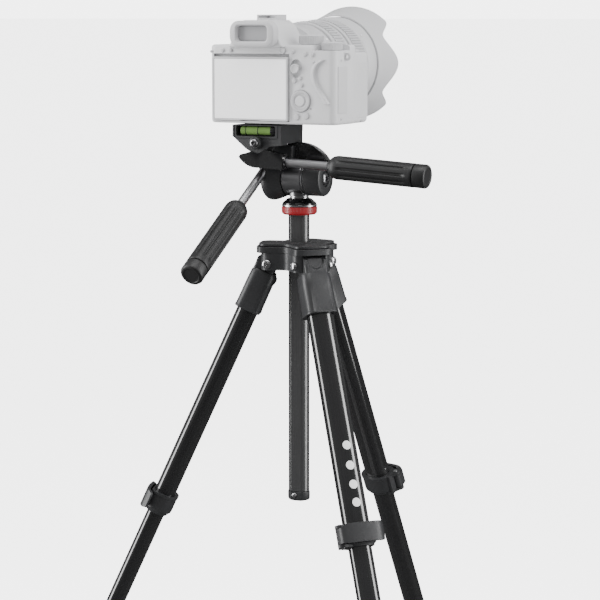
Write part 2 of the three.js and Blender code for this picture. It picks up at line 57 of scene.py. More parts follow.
PATCH_SCALE = 0.06
RUBBED_FROM, RUBBED_FULL = 0.515, 0.60
LEGS = (1, 2, 3)
TUBES = ("upper", "middle", "lower")
TUBE_SIZES = ((19.4, 23.6), (16.3, 20.3), (13.2, 17.0))
TUBE_TOPS = (20.5, 212, 427)
TUBE_ENDS = (249, 465, 684)
TUBE_WALL = 1.2
TUBE_BODIES = ("leg_{}", "leg_{}_middle", "leg_{}_bottom")
joints = {joint["name"]: joint for joint in frame["joints"]}
scene = bpy.context.scene


def space(origin, up, out):
    """Turns millimetres along a piece's own directions into the object's metres."""
    z = Vector(up).normalized()
    y = z.cross(Vector(out)).normalized()
    turn = Matrix((y.cross(z), y, z)).transposed().to_4x4()
    return Matrix.Translation(origin) @ turn @ Matrix.Scale(MM, 4)


def leg_space(n):
    """A leg hangs along -z from its hinge, with x facing outwards."""
    up = Vector(joints[f"leg_{n}_upper_slide"]["axis"])
    across = Vector(joints[f"leg_{n}_fold"]["axis"])
    return space(joints[f"leg_{n}_fold"]["pos_m"], up, across.cross(up))


def oval(sx, sy, z, count=64, power=2.4):
    """An oval with flattened sides, sx by sy, at a height."""
    ring = []
    for i in range(count):
        c = math.cos(2 * math.pi * (i + 0.5) / count)
        s = math.sin(2 * math.pi * (i + 0.5) / count)
        x = sx / 2 * math.copysign(abs(c) ** (2 / power), c)
        y = sy / 2 * math.copysign(abs(s) ** (2 / power), s)
        ring.append((x, y, z))
    return ring


def loft(rings, closed=False):
    """A skin through rings of points. A ring of one point is a pole, and open ends are capped."""
    bm = bmesh.new()
    loops = [[bm.verts.new(point) for point in ring] for ring in rings]
    pairs = list(zip(loops, loops[1:]))
    if closed:
        pairs.append((loops[-1], loops[0]))
    for a, b in pairs:
        for i in range(max(len(a), len(b))):
            j = i + 1
            corners = (a[i % len(a)], a[j % len(a)], b[j % len(b)], b[i % len(b)])
            corners = list(dict.fromkeys(corners))
            if len(corners) > 2:
                bm.faces.new(corners)
    if not closed:
        for loop in (loops[0], loops[-1]):
            if len(loop) > 2:
                bm.faces.new(loop)
    bmesh.ops.recalc_face_normals(bm, faces=bm.faces)
    return bm


def sleeve(outer, inner, z0, z1):
    """A tube of any section between two heights. outer and inner give a ring at a height."""
    return loft([outer(z0), outer(z1), inner(z1), inner(z0)], closed=True)


def piece(name, bm, place, coat, body, slot=None, edge=0.0, rounds=3, turn=32):
    """Puts a millimetre mesh in its place and keeps its own coordinates in the attribute local."""
    bmesh.ops.remove_doubles(bm, verts=bm.verts, dist=WELD)
    loose = [line for line in bm.edges if not line.link_faces]
    bmesh.ops.delete(bm, geom=loose, context="EDGES")
    mesh = bpy.data.meshes.new(name)
    bm.to_mesh(mesh)
    bm.free()
    local = mesh.attributes.new("local", "FLOAT_VECTOR", "POINT")
    local.data.foreach_set("vector", [c for vertex in mesh.vertices for c in vertex.co])
    mesh.transform(place)
    mesh.shade_smooth()
    mesh.materials.append(coat)
    made = bpy.data.objects.new(name, mesh)
    scene.collection.objects.link(made)
    if edge:
        bevel = made.modifiers.new("edge", "BEVEL")
        bevel.width = edge * MM
        bevel.segments = rounds
        bevel.limit_method = "ANGLE"
        bevel.angle_limit = math.radians(turn)
        bevel.harden_normals = True
        bevel.use_clamp_overlap = True
    else:
        mesh.set_sharp_from_angle(angle=math.radians(turn))
    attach(made, body)
    return made


def stand_in(node, bm, place, coat, body, slot=None, **finish):
    """A piece that is shown in place of the plain solid it is named after."""
    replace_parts(piece("look_" + node, bm, place, coat, body, slot, **finish), node)


def new_group(name, inputs, outputs):
    """An empty shader group with its sockets."""
    group = bpy.data.node_groups.new(name, "ShaderNodeTree")
    for label, kind, value in inputs:
        socket = group.interface.new_socket(label, in_out="INPUT", socket_type="NodeSocket" + kind)
        socket.default_value = value
    for label, kind in outputs:
        group.interface.new_socket(label, in_out="OUTPUT", socket_type="NodeSocket" + kind)
    return group, group.nodes.new("NodeGroupInput").outputs, group.nodes.new("NodeGroupOutput").inputs


def feed(tree, value, socket):
    """Gives a socket a plain value, or the output of another node."""
    if isinstance(value, bpy.types.NodeSocket):
        tree.links.new(value, socket)
    else:
        socket.default_value = value


def add(tree, kind, **settings):
    """A node with its settings. One that is named after a socket feeds that socket."""
    node = tree.nodes.new(kind)
    for label, value in settings.items():
        if hasattr(node, label):
            setattr(node, label, value)
        else:
            feed(tree, value, node.inputs[label.replace("_", " ")])
    return node


def maths(tree, operation, *values, **settings):
    """The result of a sum whose terms are numbers or outputs of other nodes."""
    node = add(tree, "ShaderNodeMath", operation=operation, **settings)
    for value, socket in zip(values, node.inputs):
        feed(tree, value, socket)
    return node.outputs["Value"]


def surface_group():
    """Grain, slow variation and worn edges, in the piece's own millimetres."""
    grey = (0.5, 0.5, 0.5, 1)
    inputs = [("Colour", "Color", grey), ("Worn Colour", "Color", grey), ("Roughness", "Float", 0.5)]
    inputs += [("Grain", "Vector", (3.0, 3.0, 3.0)), ("Patchiness", "Float", 0.1), ("Wear", "Float", 0.3)]
    outputs = [("Colour", "Color"), ("Roughness", "Float"), ("Height", "Float")]
    group, given, result = new_group("grain_and_wear", inputs, outputs)
    where = add(group, "ShaderNodeAttribute", attribute_name="local").outputs["Vector"]
    stretched = add(group, "ShaderNodeVectorMath", operation="MULTIPLY")
    feed(group, where, stretched.inputs[0])
    feed(group, given["Grain"], stretched.inputs[1])
    grain = add(
        group,
        "ShaderNodeTexNoise",
        Vector=stretched.outputs["Vector"],
        Scale=1.0,
        Detail=3.0,
        Roughness=0.6,
    ).outputs["Fac"]
    patches = add(group, "ShaderNodeTexNoise", Vector=where, Scale=PATCH_SCALE, Detail=4.0, Roughness=0.55)
    shape = add(group, "ShaderNodeNewGeometry").outputs["Pointiness"]
    edges = add(
        group, "ShaderNodeMapRange", Value=shape, From_Min=RUBBED_FROM, From_Max=RUBBED_FULL,
        To_Max=1.0,
    )
    rubbed = maths(group, "MULTIPLY", edges.outputs["Result"], given["Wear"])
    worn = add(
        group, "ShaderNodeMix", data_type="RGBA", Factor=maths(group, "MULTIPLY", rubbed, grain),
        A=given["Colour"], B=given["Worn Colour"],
    )
    offset = maths(group, "SUBTRACT", patches.outputs["Fac"], 0.5)
    amount = maths(group, "MULTIPLY", offset, given["Patchiness"])
    varied = add(
        group,
        "ShaderNodeHueSaturation",
        Color=worn.outputs["Result"],
        Value=maths(group, "ADD", amount, 1.0),
    )
    rough = maths(group, "ADD", given["Roughness"], amount, use_clamp=True)
    feed(group, varied.outputs["Color"], result["Colour"])
    feed(group, rough, result["Roughness"])
    feed(group, grain, result["Height"])
    return group


grain_and_wear = surface_group()


def paint(slot, name, colour, roughness, grain, bump, worn=None, wear=0.3, patchy=0.12, **sockets):
    """A finish: its colour and roughness vary through the shared group, and the rest is plain."""
    made = bpy.data.materials.new(name)
    made.use_nodes = True
    tree = made.node_tree
    surface = tree.nodes["Principled BSDF"]
    for label, value in sockets.items():
        surface.inputs[label.replace("_", " ")].default_value = value
    detail = tree.nodes.new("ShaderNodeGroup")
    detail.node_tree = grain_and_wear
    grain = grain if isinstance(grain, tuple) else (grain, grain, grain)
    values = {"Colour": (*colour, 1), "Worn Colour": (*(worn or [1.8 * c for c in colour]), 1),
              "Roughness": roughness, "Grain": grain, "Patchiness": patchy, "Wear": wear}
    for label, value in values.items():
        detail.inputs[label].default_value = value
    height = add(
        tree, "ShaderNodeBump", Strength=bump, Distance=BUMP_HEIGHT,
        Height=detail.outputs["Height"],
    )
    feed(tree, detail.outputs["Colour"], surface.inputs["Base Color"])
    feed(tree, detail.outputs["Roughness"], surface.inputs["Roughness"])
    feed(tree, height.outputs["Normal"], surface.inputs["Normal"])
    return made


black_anodised = paint(
    "black_tube", "black_anodised", (0.004, 0.004, 0.0045), 0.14, (2.4, 2.4, 0.02), 0.02,
    worn=(0.12, 0.12, 0.12), wear=0.4, patchy=0.04, Specular_IOR_Level=0.8, Coat_Weight=0.5,
    Coat_Roughness=0.09,
)

for n in LEGS:
    for stage, tube in enumerate(TUBES):
        sx, sy = TUBE_SIZES[stage]
        walls = sleeve(
            lambda z: oval(sx, sy, z),
            lambda z: oval(sx - 2 * TUBE_WALL, sy - 2 * TUBE_WALL, z),
            -TUBE_ENDS[stage],
            -TUBE_TOPS[stage],
        )
        node = f"leg_{n}_{tube}_tube"
        body = TUBE_BODIES[stage].format(n)
        stand_in(node, walls, leg_space(n), black_anodised, body, edge=0.25, rounds=2, turn=50)

# ---- Rubber feet -------------------------------------------------------------------------
# A moulded rubber boot is pushed on the end of each lower tube. Its tread is cut level with
# the floor, and rings round its waist let it flex.
LEG_REACH = 700
LOWER_END = TUBE_ENDS[2]
QUARTER = math.pi / 2
POLE = 1e-6
FLAT_ANGLE = 0.01


def circle(radius, z, steps=48):
    """A ring of points, or a pole where the radius is nothing."""
    if radius < POLE:
        return [(0.0, 0.0, z)]
    turn = 2 * math.pi / steps
    return [(radius * math.cos(turn * i), radius * math.sin(turn * i), z) for i in range(steps)]


def lathe(profile, steps=48):
    """A body turned about z from its (radius, height) profile, which a ring's profile closes."""
    is_ring = profile[0] == profile[-1]
    outline = profile[:-1] if is_ring else profile
    return loft([circle(r, z, steps) for r, z in outline], closed=is_ring)


def solid(profile, steps=48):
    """A turned body whose flat ends close on the axis."""
    return lathe([(0, profile[0][1]), *profile, (0, profile[-1][1])], steps)


def disc(radius, low, high, steps=48):
    """A plain round bar between two heights."""
    return solid([(radius, low), (radius, high)], steps)


def moved(bm, shift=(0, 0, 0), axis="Z", turn=0.0):
    """Turns a body about an axis through its own origin, and then shifts it."""
    bm.transform(Matrix.Translation(shift) @ Matrix.Rotation(turn, 4, axis))
    return bm


def tool_mesh(bm):
    """A bare object of a millimetre mesh, for cutting with."""
    mesh = bpy.data.meshes.new("stock")
    bm.to_mesh(mesh)
    bm.free()
    made = bpy.data.objects.new("stock", mesh)
    scene.collection.objects.link(made)
    return made


def worked(stock, tools, operation):
    """The stock with the tools cut from it, joined to it, or only where they meet."""
    body = tool_mesh(stock)
    others = [tool_mesh(tool) for tool in tools]
    for other in others:
        step = body.modifiers.new("work", "BOOLEAN")
        step.operation = operation
        step.solver = "EXACT"
        step.object = other
    settled = body.evaluated_get(bpy.context.evaluated_depsgraph_get())
    mesh = bpy.data.meshes.new_from_object(settled)
    result = bmesh.new()
    result.from_mesh(mesh)
    for spent in [body, *others]:
        bpy.data.objects.remove(spent)
    bmesh.ops.dissolve_limit(result, angle_limit=FLAT_ANGLE, verts=result.verts, edges=result.edges)
    return result


def cut(stock, *tools):
    return worked(stock, tools, "DIFFERENCE")


def join(stock, *tools):
    return worked(stock, tools, "UNION")


def block(x0, x1, y0, y1, z0, z1):
    corners = [(x0, y0), (x1, y0), (x1, y1), (x0, y1)]
    return loft([[(x, y, z) for x, y in corners] for z in (z0, z1)])


foot_rubber = paint(
    "foot_rubber", "foot_rubber", (0.022, 0.022, 0.023), 0.78, 2.5, 0.5, wear=0.6, patchy=0.2
)

for n in LEGS:
    place = leg_space(n)
    boot = solid(
        [(11.6, -715), (11.5, -690), (10.7, -688), (11.1, -686), (10.4, -684),
         (10.8, -682), (10.0, -680), (10.3, -678), (9.7, -673), (9.0, -672)]
    )
    socket = loft([oval(13.8, 17.6, z) for z in (-LOWER_END - 0.3, -660)])
    up = place.inverted().to_3x3() @ Vector((0, 0, 1))
    floor = moved(block(-60, 60, -60, 60, -60, 0), (0, 0, -LEG_REACH), "Y", math.atan2(up.x, up.z))
    node = f"leg_{n}_foot"
    stand_in(node, cut(boot, socket, floor), place, foot_rubber, f"leg_{n}_bottom", edge=0.5)

# ---- Leg locks ---------------------------------------------------------------------------
# A moulded collar is pressed on the end of each wider tube. Its lever turns on a steel pin
# between two ears and lies round the outward side of the leg when it is shut.
LOCKS = (247, 462)
LOCK_HALF = 10
PIN_X = 5
PIN_BACK = 6
EAR_RADIUS = 4.3
FIT = 0.5
STOP_HEIGHT = 6
LEVER_GAP = 1.7
LEVER_LEAVES = 30


def bend(p0, p1, p2, p3, t):
    """A point on the smooth line from p1 to p2, which comes from p0 and goes on to p3."""
    p0, p1, p2, p3 = (Vector(p) for p in (p0, p1, p2, p3))
    start = 2 * p1 + (p2 - p0) * t + (2 * p0 - 5 * p1 + 4 * p2 - p3) * t * t
    return tuple(0.5 * (start + (3 * p1 - p0 - 3 * p2 + p3) * t**3))


def curve(points, count):
    """Points evenly along a smooth line that passes through the given ones."""
    line = []
    last = len(points) - 1
    for i in range(count):
        at = last * i / (count - 1)
        k = min(int(at), last - 1)
        line.append(bend(points[max(k - 1, 0)], points[k], points[k + 1], points[min(k + 2, last)], at - k))
    return line


def arc(radius, degrees, x=0, y=0):
    """Points on a circle at the given angles."""
    turns = [math.radians(a) for a in degrees]
    return [(x + radius * math.cos(a), y + radius * math.sin(a)) for a in turns]


def prism(outline, z0, z1):
    """An outline of (x, y) points pushed from z0 to z1."""
    return loft([[(x, y, z) for x, y in outline] for z in (z0, z1)])


def collar(stage):
    """A band that grows over the end of its tube, split for the lever, with two ears for the pin."""
    sx, sy = TUBE_SIZES[stage]
    nx, ny = TUBE_SIZES[stage + 1]
    middle = -LOCKS[stage]
    low, high = middle - LOCK_HALF, middle + LOCK_HALF
    pin_y = -(sy / 2 + PIN_BACK)
    grow = [
        (low, nx + 4.6, ny + 5.4), (low + 1.2, nx + 5.4, ny + 6.2),
        (low + 3.4, sx + 5.8, sy + 6.8), (low + 5, sx + 6.4, sy + 7.6),
        (high - 2.6, sx + 6.4, sy + 7.6), (high - 2.2, sx + 7.4, sy + 8.6),
        (high, sx + 7.4, sy + 8.6),
    ]
    rings = [oval(x, y, z) for z, x, y in grow]
    rings += [oval(sx + FIT, sy + FIT, z) for z in (high, low + STOP_HEIGHT)]
    rings += [oval(nx + FIT, ny + FIT, z) for z in (low + STOP_HEIGHT, low)]
    band = cut(loft(rings, closed=True), block(sx / 2 + 1.3, 40, pin_y + 1, 40, low + 2.4, high + 1))
    ears = []
    for z0, z1 in ((low + 0.2, low + 2.8), (high - 2.7, high - 0.1)):
        ear = arc(EAR_RADIUS, range(-150, 31, 15), PIN_X, pin_y)
        ear += [(PIN_X + 3.4, pin_y + 8.4), (-7, pin_y + 8.4), (-7, pin_y + 4)]
        ears.append(prism(ear, z0, z1))
    cheek = block(-6, 0.4, pin_y + 0.2, pin_y + 7, low + 0.4, high - 0.3)
    bore = loft([oval(sx + FIT, sy + FIT, z) for z in (low + STOP_HEIGHT, high + 1)])
    return cut(join(band, *ears, cheek), bore)


def lever(stage):
    """A curved leaf from its knuckle on the pin to a thinner thumb end, wide along the leg."""
    sx, sy = TUBE_SIZES[stage]
    pin_y = -(sy / 2 + PIN_BACK)
    face = sx / 2 + LEVER_GAP
    outer = curve(
        [
            (PIN_X + 0.2, pin_y - 3.9), (face + 1.9, pin_y - 2.2), (face + 4.2, pin_y + 5),
            (face + 4.9, 0), (face + 4.3, sy / 2), (face + 2.4, sy / 2 + 5.6),
            (face - 2, sy / 2 + 9.4),
        ],
        LEVER_LEAVES,
    )
    inner = curve(
        [
            (PIN_X + 0.2, pin_y + 3.2), (face - 0.8, pin_y + 2.4), (face + 0.9, pin_y + 6),
            (face + 1.6, 0), (face + 1, sy / 2), (face - 0.5, sy / 2 + 4.4),
            (face - 3.6, sy / 2 + 7),
        ],
        LEVER_LEAVES,
    )
    middle = -LOCKS[stage]
    rings = []
    for i, (out_point, in_point) in enumerate(zip(outer, inner)):
        t = i / (LEVER_LEAVES - 1)
        wide = min(max((t - 0.16) / 0.14, 0), 1)
        tip = max((t - 0.86) / 0.14, 0)
        high = middle + 6.6 + 3.0 * wide * wide * (3 - 2 * wide) - 2.6 * tip * tip
        low = middle - 6.8 - 0.7 * wide + 2.4 * tip * tip
        rings.append([(*out_point, low), (*out_point, high), (*in_point, high), (*in_point, low)])
    knuckle = disc(3.9, middle - 6.7, middle + 6.5, 32)
    return join(loft(rings), moved(knuckle, (PIN_X, pin_y, 0)))


satin_nylon = paint(
    "satin_plastic", "satin_nylon", (0.022, 0.0225, 0.024), 0.42, 3.2, 0.32, wear=0.35, patchy=0.1,
    Specular_IOR_Level=0.55,
)
polished_steel = paint(
    "polished_rod", "polished_steel", (0.66, 0.66, 0.67), 0.27, 1.5, 0.02,
    worn=(0.8, 0.8, 0.8), Metallic=1.0,
)

for n in LEGS:
    place = leg_space(n)
    for stage, lock in enumerate(("upper", "lower")):
        body = TUBE_BODIES[stage].format(n)
        node = f"leg_{n}_{lock}_collar"
        stand_in(node, collar(stage), place, satin_nylon, body, edge=0.45)
        node = f"leg_{n}_{lock}_lever"
        stand_in(node, lever(stage), place, satin_nylon, f"leg_{n}_{lock}_lock", edge=0.8, turn=40)
        middle = -LOCKS[stage]
        pin = solid([(1.7, middle - 10.4), (2, middle - 10), (2, middle + 10.1), (1.6, middle + 10.5)], 24)
        pin = moved(pin, (PIN_X, -(TUBE_SIZES[stage][1] / 2 + PIN_BACK), 0))
        piece(f"leg_{n}_{lock}_pin", pin, place, polished_steel, body)

# ---- Leg castings ------------------------------------------------------------------------
# A satin nylon shoulder is bonded over the top of each upper tube. Its tongue turns on the
# hinge bolt in the spider, and a thumb recess on its outer face helps to spread the leg.
CASTING_END = 47
TONGUE_HALF = 10.9


def rounded_rect(x0, x1, y0, y1, radius, steps=8):
    """The outline of a rectangle with round corners."""
    corners = ((x1, y1, 0), (x0, y1, 90), (x0, y0, 180), (x1, y0, 270))
    points = []
    for x, y, start in corners:
        cx = x - math.copysign(radius, x - (x0 + x1) / 2)
        cy = y - math.copysign(radius, y - (y0 + y1) / 2)
        points += arc(radius, [start + 90 * i / steps for i in range(steps + 1)], cx, cy)
    return points


def slab(outline, *depths):
    """An outline of (x, z) points pushed along y through some depths."""
    return loft([[(x, y, z) for x, z in outline] for y in depths])


def casting():
    """The shoulder's skirt, tongue, round head and brow in one, with a socket for the tube."""
    skirt = []
    for z, grow in (
        (-CASTING_END, 0.5), (-CASTING_END + 1.6, 0.5), (-CASTING_END + 2.2, 0.2), (-20, 0),
        (-11, -0.3), (-8, -1.6),
    ):
        ring = rounded_rect(-11.6 - grow, 11.8 + grow, -14.2 - grow, 14.2 + grow, 7)
        skirt.append([(x, y, z) for x, y in ring])
    tongue = prism(rounded_rect(-8.3, 10.6, -TONGUE_HALF, TONGUE_HALF, 2, 4), -13, 1.5)
    head = moved(disc(8.2, -TONGUE_HALF, TONGUE_HALF, 40), axis="X", turn=QUARTER)
    brow = slab([(-2, -2), (10.6, -2), (10.6, 2.4), (7.6, 6.2), (-2, 7.4)], -TONGUE_HALF, TONGUE_HALF)
    socket = loft([oval(20, 24.2, z) for z in (-CASTING_END - 1, -20)])
    thumb = solid([(6.6, 9.6), (8.4, 11), (8.6, 20)], 40)
    thumb = moved(thumb, (0, 0, 1.2), "Y", QUARTER)
    return cut(join(loft(skirt), tongue, head, brow), socket, thumb)


for n in LEGS:
    node = f"leg_{n}_casting"
    stand_in(node, casting(), leg_space(n), satin_nylon, f"leg_{n}", edge=0.9)
    catch = slab([(-9.6, -10), (-12.6, -10.6), (-13.2, -14), (-12.4, -18), (-10, -18.6)], -4.2, 4.2)
    piece(f"leg_{n}_catch", catch, leg_space(n), satin_nylon, f"leg_{n}", edge=0.7)

# ---- Printed dots ------------------------------------------------------------------------
# Plain white ink dots are printed in a row down the outer face of one upper tube. Each is a
# thin film that follows the oval of the tube.
DOT_PLACES = (168, 186, 203, 219)
DOT_RADIUS = 3.9
white_ink = paint("satin_plastic", "white_ink", (0.86, 0.86, 0.86), 0.4, 4, 0.1, wear=0.1)


def pooled(parts):
    """Several bodies in one mesh, not joined to each other."""
    whole = bmesh.new()
    for part in parts:
        spare = bpy.data.meshes.new("part")
        part.to_mesh(spare)
        part.free()
        whole.from_mesh(spare)
    return whole


def dot(down):
    """A round patch of ink, curved with the tube that it is printed on."""
    across, along = TUBE_SIZES[0]
    spot = moved(disc(DOT_RADIUS, 4, across, 40), (0, 0, -down), "Y", QUARTER)
    film = sleeve(
        lambda z: oval(across + 0.12, along + 0.12, z),
        lambda z: oval(across - 0.4, along - 0.4, z),
        -down - 9,
        -down + 9,
    )
    return worked(spot, [film], "INTERSECT")


piece("printed_dots", pooled(dot(down) for down in DOT_PLACES), leg_space(2), white_ink, "leg_2")

# ---- Spider ------------------------------------------------------------------------------
# The spider is moulded in glass-filled nylon: a lobed deck over each leg, with a pair of webs
# under it that hold the leg's hinge bolt. A thinner cover lies on the deck round the column.
COLUMN_RADIUS = 9.9
FLAT_TURN = 34.5
DECK_LOW, DECK_HIGH = 10, 15.6
COVER_LOW, COVER_HIGH = 15.9, 18.4
WEB_LOW = -5.5
WEB_HALF = 17.6
BOLT_OUT = 27.7

column_axis = Vector(joints["lock_ring_turn"]["pos_m"])
hinge_height = joints["leg_1_fold"]["pos_m"][2]
middle = space((column_axis.x, column_axis.y, hinge_height), (0, 0, 1), (1, 0, 0))


def leg_angle(n):
    out = Vector(joints[f"leg_{n}_fold"]["axis"]).cross(Vector((0, 0, 1)))
    return math.atan2(out.y, out.x)


def around(radial, side, angle):
    """A point given by its distance out along an angle and its distance to the left of it."""
    return (radial * math.cos(angle) - side * math.sin(angle),
            radial * math.sin(angle) + side * math.cos(angle))


def ring_curve(points, each=5):
    """A smooth closed line through points in the plane."""
    line = []
    for k in range(len(points)):
        near = [points[(k + i) % len(points)] for i in (-1, 0, 1, 2)]
        line += [bend(*near, i / each) for i in range(each)]
    return line


def lobes(reach, half, waist):
    """The spider's outline: a lobe over each leg and a waist between two legs."""
    points = []
    for angle in sorted(leg_angle(n) % math.tau for n in LEGS):
        shape = (
            (-7, -half), (-1.6, -half + 4), (0, -half * 0.4), (0, half * 0.4),
            (-1.6, half - 4), (-7, half),
        )
        points += [around(reach + back, side, angle) for back, side in shape]
        points.append(around(waist, 0, angle + math.pi / 3))
    return ring_curve(points)


def column_outline(radius, z, fine=10):
    """Round, with three flats."""
    ring = []
    for side in range(3):
        for i in range(fine + 1):
            a = math.radians(FLAT_TURN + 30 + 120 * side + 60 * i / fine)
            ring.append((radius * math.cos(a), radius * math.sin(a), z))
    return ring


column_bore = (column_outline(COLUMN_RADIUS + 0.3, -60), column_outline(COLUMN_RADIUS + 0.3, 60))
tongue_room = TONGUE_HALF + 0.4
slots = [moved(block(16.5, 60, -tongue_room, tongue_room, -60, DECK_LOW), turn=leg_angle(n)) for n in LEGS]
knob_axis = Vector(joints["column_knob_turn"]["axis"])
knob_angle = math.atan2(knob_axis.y, knob_axis.x)
knob_lift = (Vector(joints["column_knob_turn"]["pos_m"]).z - hinge_height) / MM
knob_hole = moved(disc(3.6, 8, 40, 24), axis="Y", turn=QUARTER)
knob_hole = moved(knob_hole, (0, 0, knob_lift), turn=knob_angle)
webs = cut(prism(lobes(34, WEB_HALF, 20.5), WEB_LOW, DECK_LOW + 0.5), *slots, loft(column_bore), knob_hole)
deck = cut(prism(lobes(38, 18.5, 21), DECK_LOW, DECK_HIGH), loft(column_bore))
stand_in("spider", webs, middle, satin_nylon, "spider", edge=1.2)
piece("spider_deck", deck, middle, satin_nylon, "spider", edge=1.6, rounds=4)
boss = solid(
    [(17.5, COVER_LOW), (17, COVER_HIGH - 0.2), (15.6, COVER_HIGH + 0.5), (14.6, COVER_HIGH + 1.4)],
    64,
)
cover = cut(join(prism(lobes(36.2, 16.6, 20), COVER_LOW, COVER_HIGH), boss), loft(column_bore))
stand_in("spider_cover", cover, middle, satin_nylon, "spider", edge=0.8)

# ---- Hinge bolts -------------------------------------------------------------------------
# A bright steel bolt goes through each pair of webs and its leg. A domed head with a cross
# recess stands outside each web, the bolt's own on one side and its sleeve's on the other.


def geometry_tree(name, inputs):
    """A geometry node tree with named inputs, and the sockets that give their values."""
    tree = bpy.data.node_groups.new(name, "GeometryNodeTree")
    tree.interface.new_socket("Geometry", in_out="INPUT", socket_type="NodeSocketGeometry")
    for label, kind in inputs:
        tree.interface.new_socket(label, in_out="INPUT", socket_type="NodeSocket" + kind)
    tree.interface.new_socket("Geometry", in_out="OUTPUT", socket_type="NodeSocketGeometry")
    return tree, tree.nodes.new("NodeGroupInput").outputs


def copies_on(tree, given, points, single, rotation, size):
    """Ends a tree with copies on its points, made real and given their finish."""
    copies = add(
        tree, "GeometryNodeInstanceOnPoints", Points=points, Instance=single, Rotation=rotation, Scale=size
    )
    real = add(tree, "GeometryNodeRealizeInstances", Geometry=copies.outputs["Instances"])
    coat = add(
        tree, "GeometryNodeSetMaterial", Geometry=real.outputs["Geometry"], Material=given["Finish"]
    )
    add(tree, "NodeGroupOutput", Geometry=coat.outputs["Geometry"])
    return tree


def grown(tree, bm, values):
    """The mesh that a geometry node tree makes from a start mesh, baked, in millimetres."""
    holder = tool_mesh(bm)
    step = holder.modifiers.new("grow", "NODES")
    step.node_group = tree
    for item in tree.interface.items_tree:
        if item.in_out == "INPUT" and item.name in values:
            step[item.identifier] = values[item.name]
    settled = holder.evaluated_get(bpy.context.evaluated_depsgraph_get())
    mesh = bpy.data.meshes.new_from_object(settled)
    holder.modifiers.remove(step)
    bpy.data.objects.remove(holder)
    result = bmesh.new()
    result.from_mesh(mesh)
    return result


def heads_tree():
    """Copies of a head on every point, each turned along the point's facing attribute."""
    wanted = [("Head", "Object"), ("Size", "Float"), ("Finish", "Material")]
    tree, given = geometry_tree("heads_on_points", wanted)
    facing = add(tree, "GeometryNodeInputNamedAttribute", data_type="FLOAT_VECTOR", Name="facing")
    align = add(tree, "FunctionNodeAlignRotationToVector", axis="Z", Vector=facing.outputs["Attribute"])
    head = add(tree, "GeometryNodeObjectInfo", Object=given["Head"]).outputs["Geometry"]
    return copies_on(tree, given, given["Geometry"], head, align.outputs["Rotation"], given["Size"])


heads_on_points = heads_tree()


def screw_head(cross=True):
    """A low domed head of radius 1 on the plane z = 0, with a cross or a hexagonal recess."""
    dome = lathe([(0, -0.3), (1, -0.3), (1, 0.18), (0.9, 0.34), (0.66, 0.48), (0.3, 0.55), (0, 0.56)], 32)
    if cross:
        arms = [block(-0.62, 0.62, -0.1, 0.1, 0.26, 1), block(-0.1, 0.1, -0.62, 0.62, 0.262, 1)]
        return cut(dome, *arms)
    return cut(dome, prism(arc(0.5, range(0, 360, 60)), 0.12, 1))


def screws(name, places, size, place, coat, body, cross=True, **finish):
    """A piece made of screw heads at (point, direction) places."""
    bm = bmesh.new()
    facing = bm.verts.layers.float_vector.new("facing")
    for point, direction in places:
        bm.verts.new(point)[facing] = direction
    head = tool_mesh(screw_head(cross))
    made = grown(heads_on_points, bm, {"Head": head, "Size": size, "Finish": coat})
    bpy.data.objects.remove(head)
    piece(name, made, place, coat, body, **finish)


bolts = []
for n in LEGS:
    angle = leg_angle(n)
    for side in (-1, 1):
        spot = around(BOLT_OUT, side * (WEB_HALF - 0.2), angle)
        bolts.append(((*spot, 0.0), (*around(0, side, angle), 0.0)))
screws("hinge_bolts", bolts, 4.2, middle, polished_steel, "spider", edge=0.12, rounds=2)
for n in LEGS:
    shank = moved(disc(3, -WEB_HALF, WEB_HALF, 24), axis="X", turn=QUARTER)
    shank = moved(shank, (*around(BOLT_OUT, 0, leg_angle(n)), 0), turn=leg_angle(n))
    piece(f"hinge_shank_{n}", shank, middle, polished_steel, "spider")

# ---- Centre column -----------------------------------------------------------------------
# A drawn aluminium tube with three flats, anodised black, slides through the spider. A nylon
# plug closes its foot, held by one small screw.
COLUMN_LOW, COLUMN_HIGH = -211, 50.5
COLUMN_WALL = 1.5
CAP_RADIUS = 10.5
column_walls = sleeve(
    lambda z: column_outline(COLUMN_RADIUS, z),
    lambda z: column_outline(COLUMN_RADIUS - COLUMN_WALL, z),
    COLUMN_LOW,
    COLUMN_HIGH,
)
column_black = paint(
    "black_tube", "column_black", (0.024, 0.024, 0.025), 0.26, (2.6, 2.6, 0.02), 0.01,
    worn=(0.2, 0.2, 0.2), wear=0.5, patchy=0.06, Specular_IOR_Level=0.8, Coat_Weight=0.25,
    Coat_Roughness=0.25,
)
stand_in("column", column_walls, middle, column_black, "column", edge=0.35, rounds=2, turn=14)
plug = loft(
    [
        column_outline(r, z)
        for r, z in (
            (8.1, -198), (8.1, -211.2), (CAP_RADIUS, -211.3), (CAP_RADIUS, -217.4),
            (9.6, -219.3), (5.5, -220.5),
        )
    ]
)
stand_in("column_end_cap", plug, middle, satin_nylon, "column", edge=0.5)
cap_face = math.radians(FLAT_TURN + 240)
cap_out = CAP_RADIUS * math.cos(math.radians(30)) - 0.2
cap_screw = [((*around(cap_out, -1.5, cap_face), -214.6), (*around(1, 0, cap_face), 0))]
screws("column_cap_screw", cap_screw, 2.3, middle, polished_steel, "column")

# ---- Column lock knob --------------------------------------------------------------------
# A ribbed nylon knob on a steel screw pushes a brake pad against the column. Its ribs are
# moulded with it, evenly round its rim.


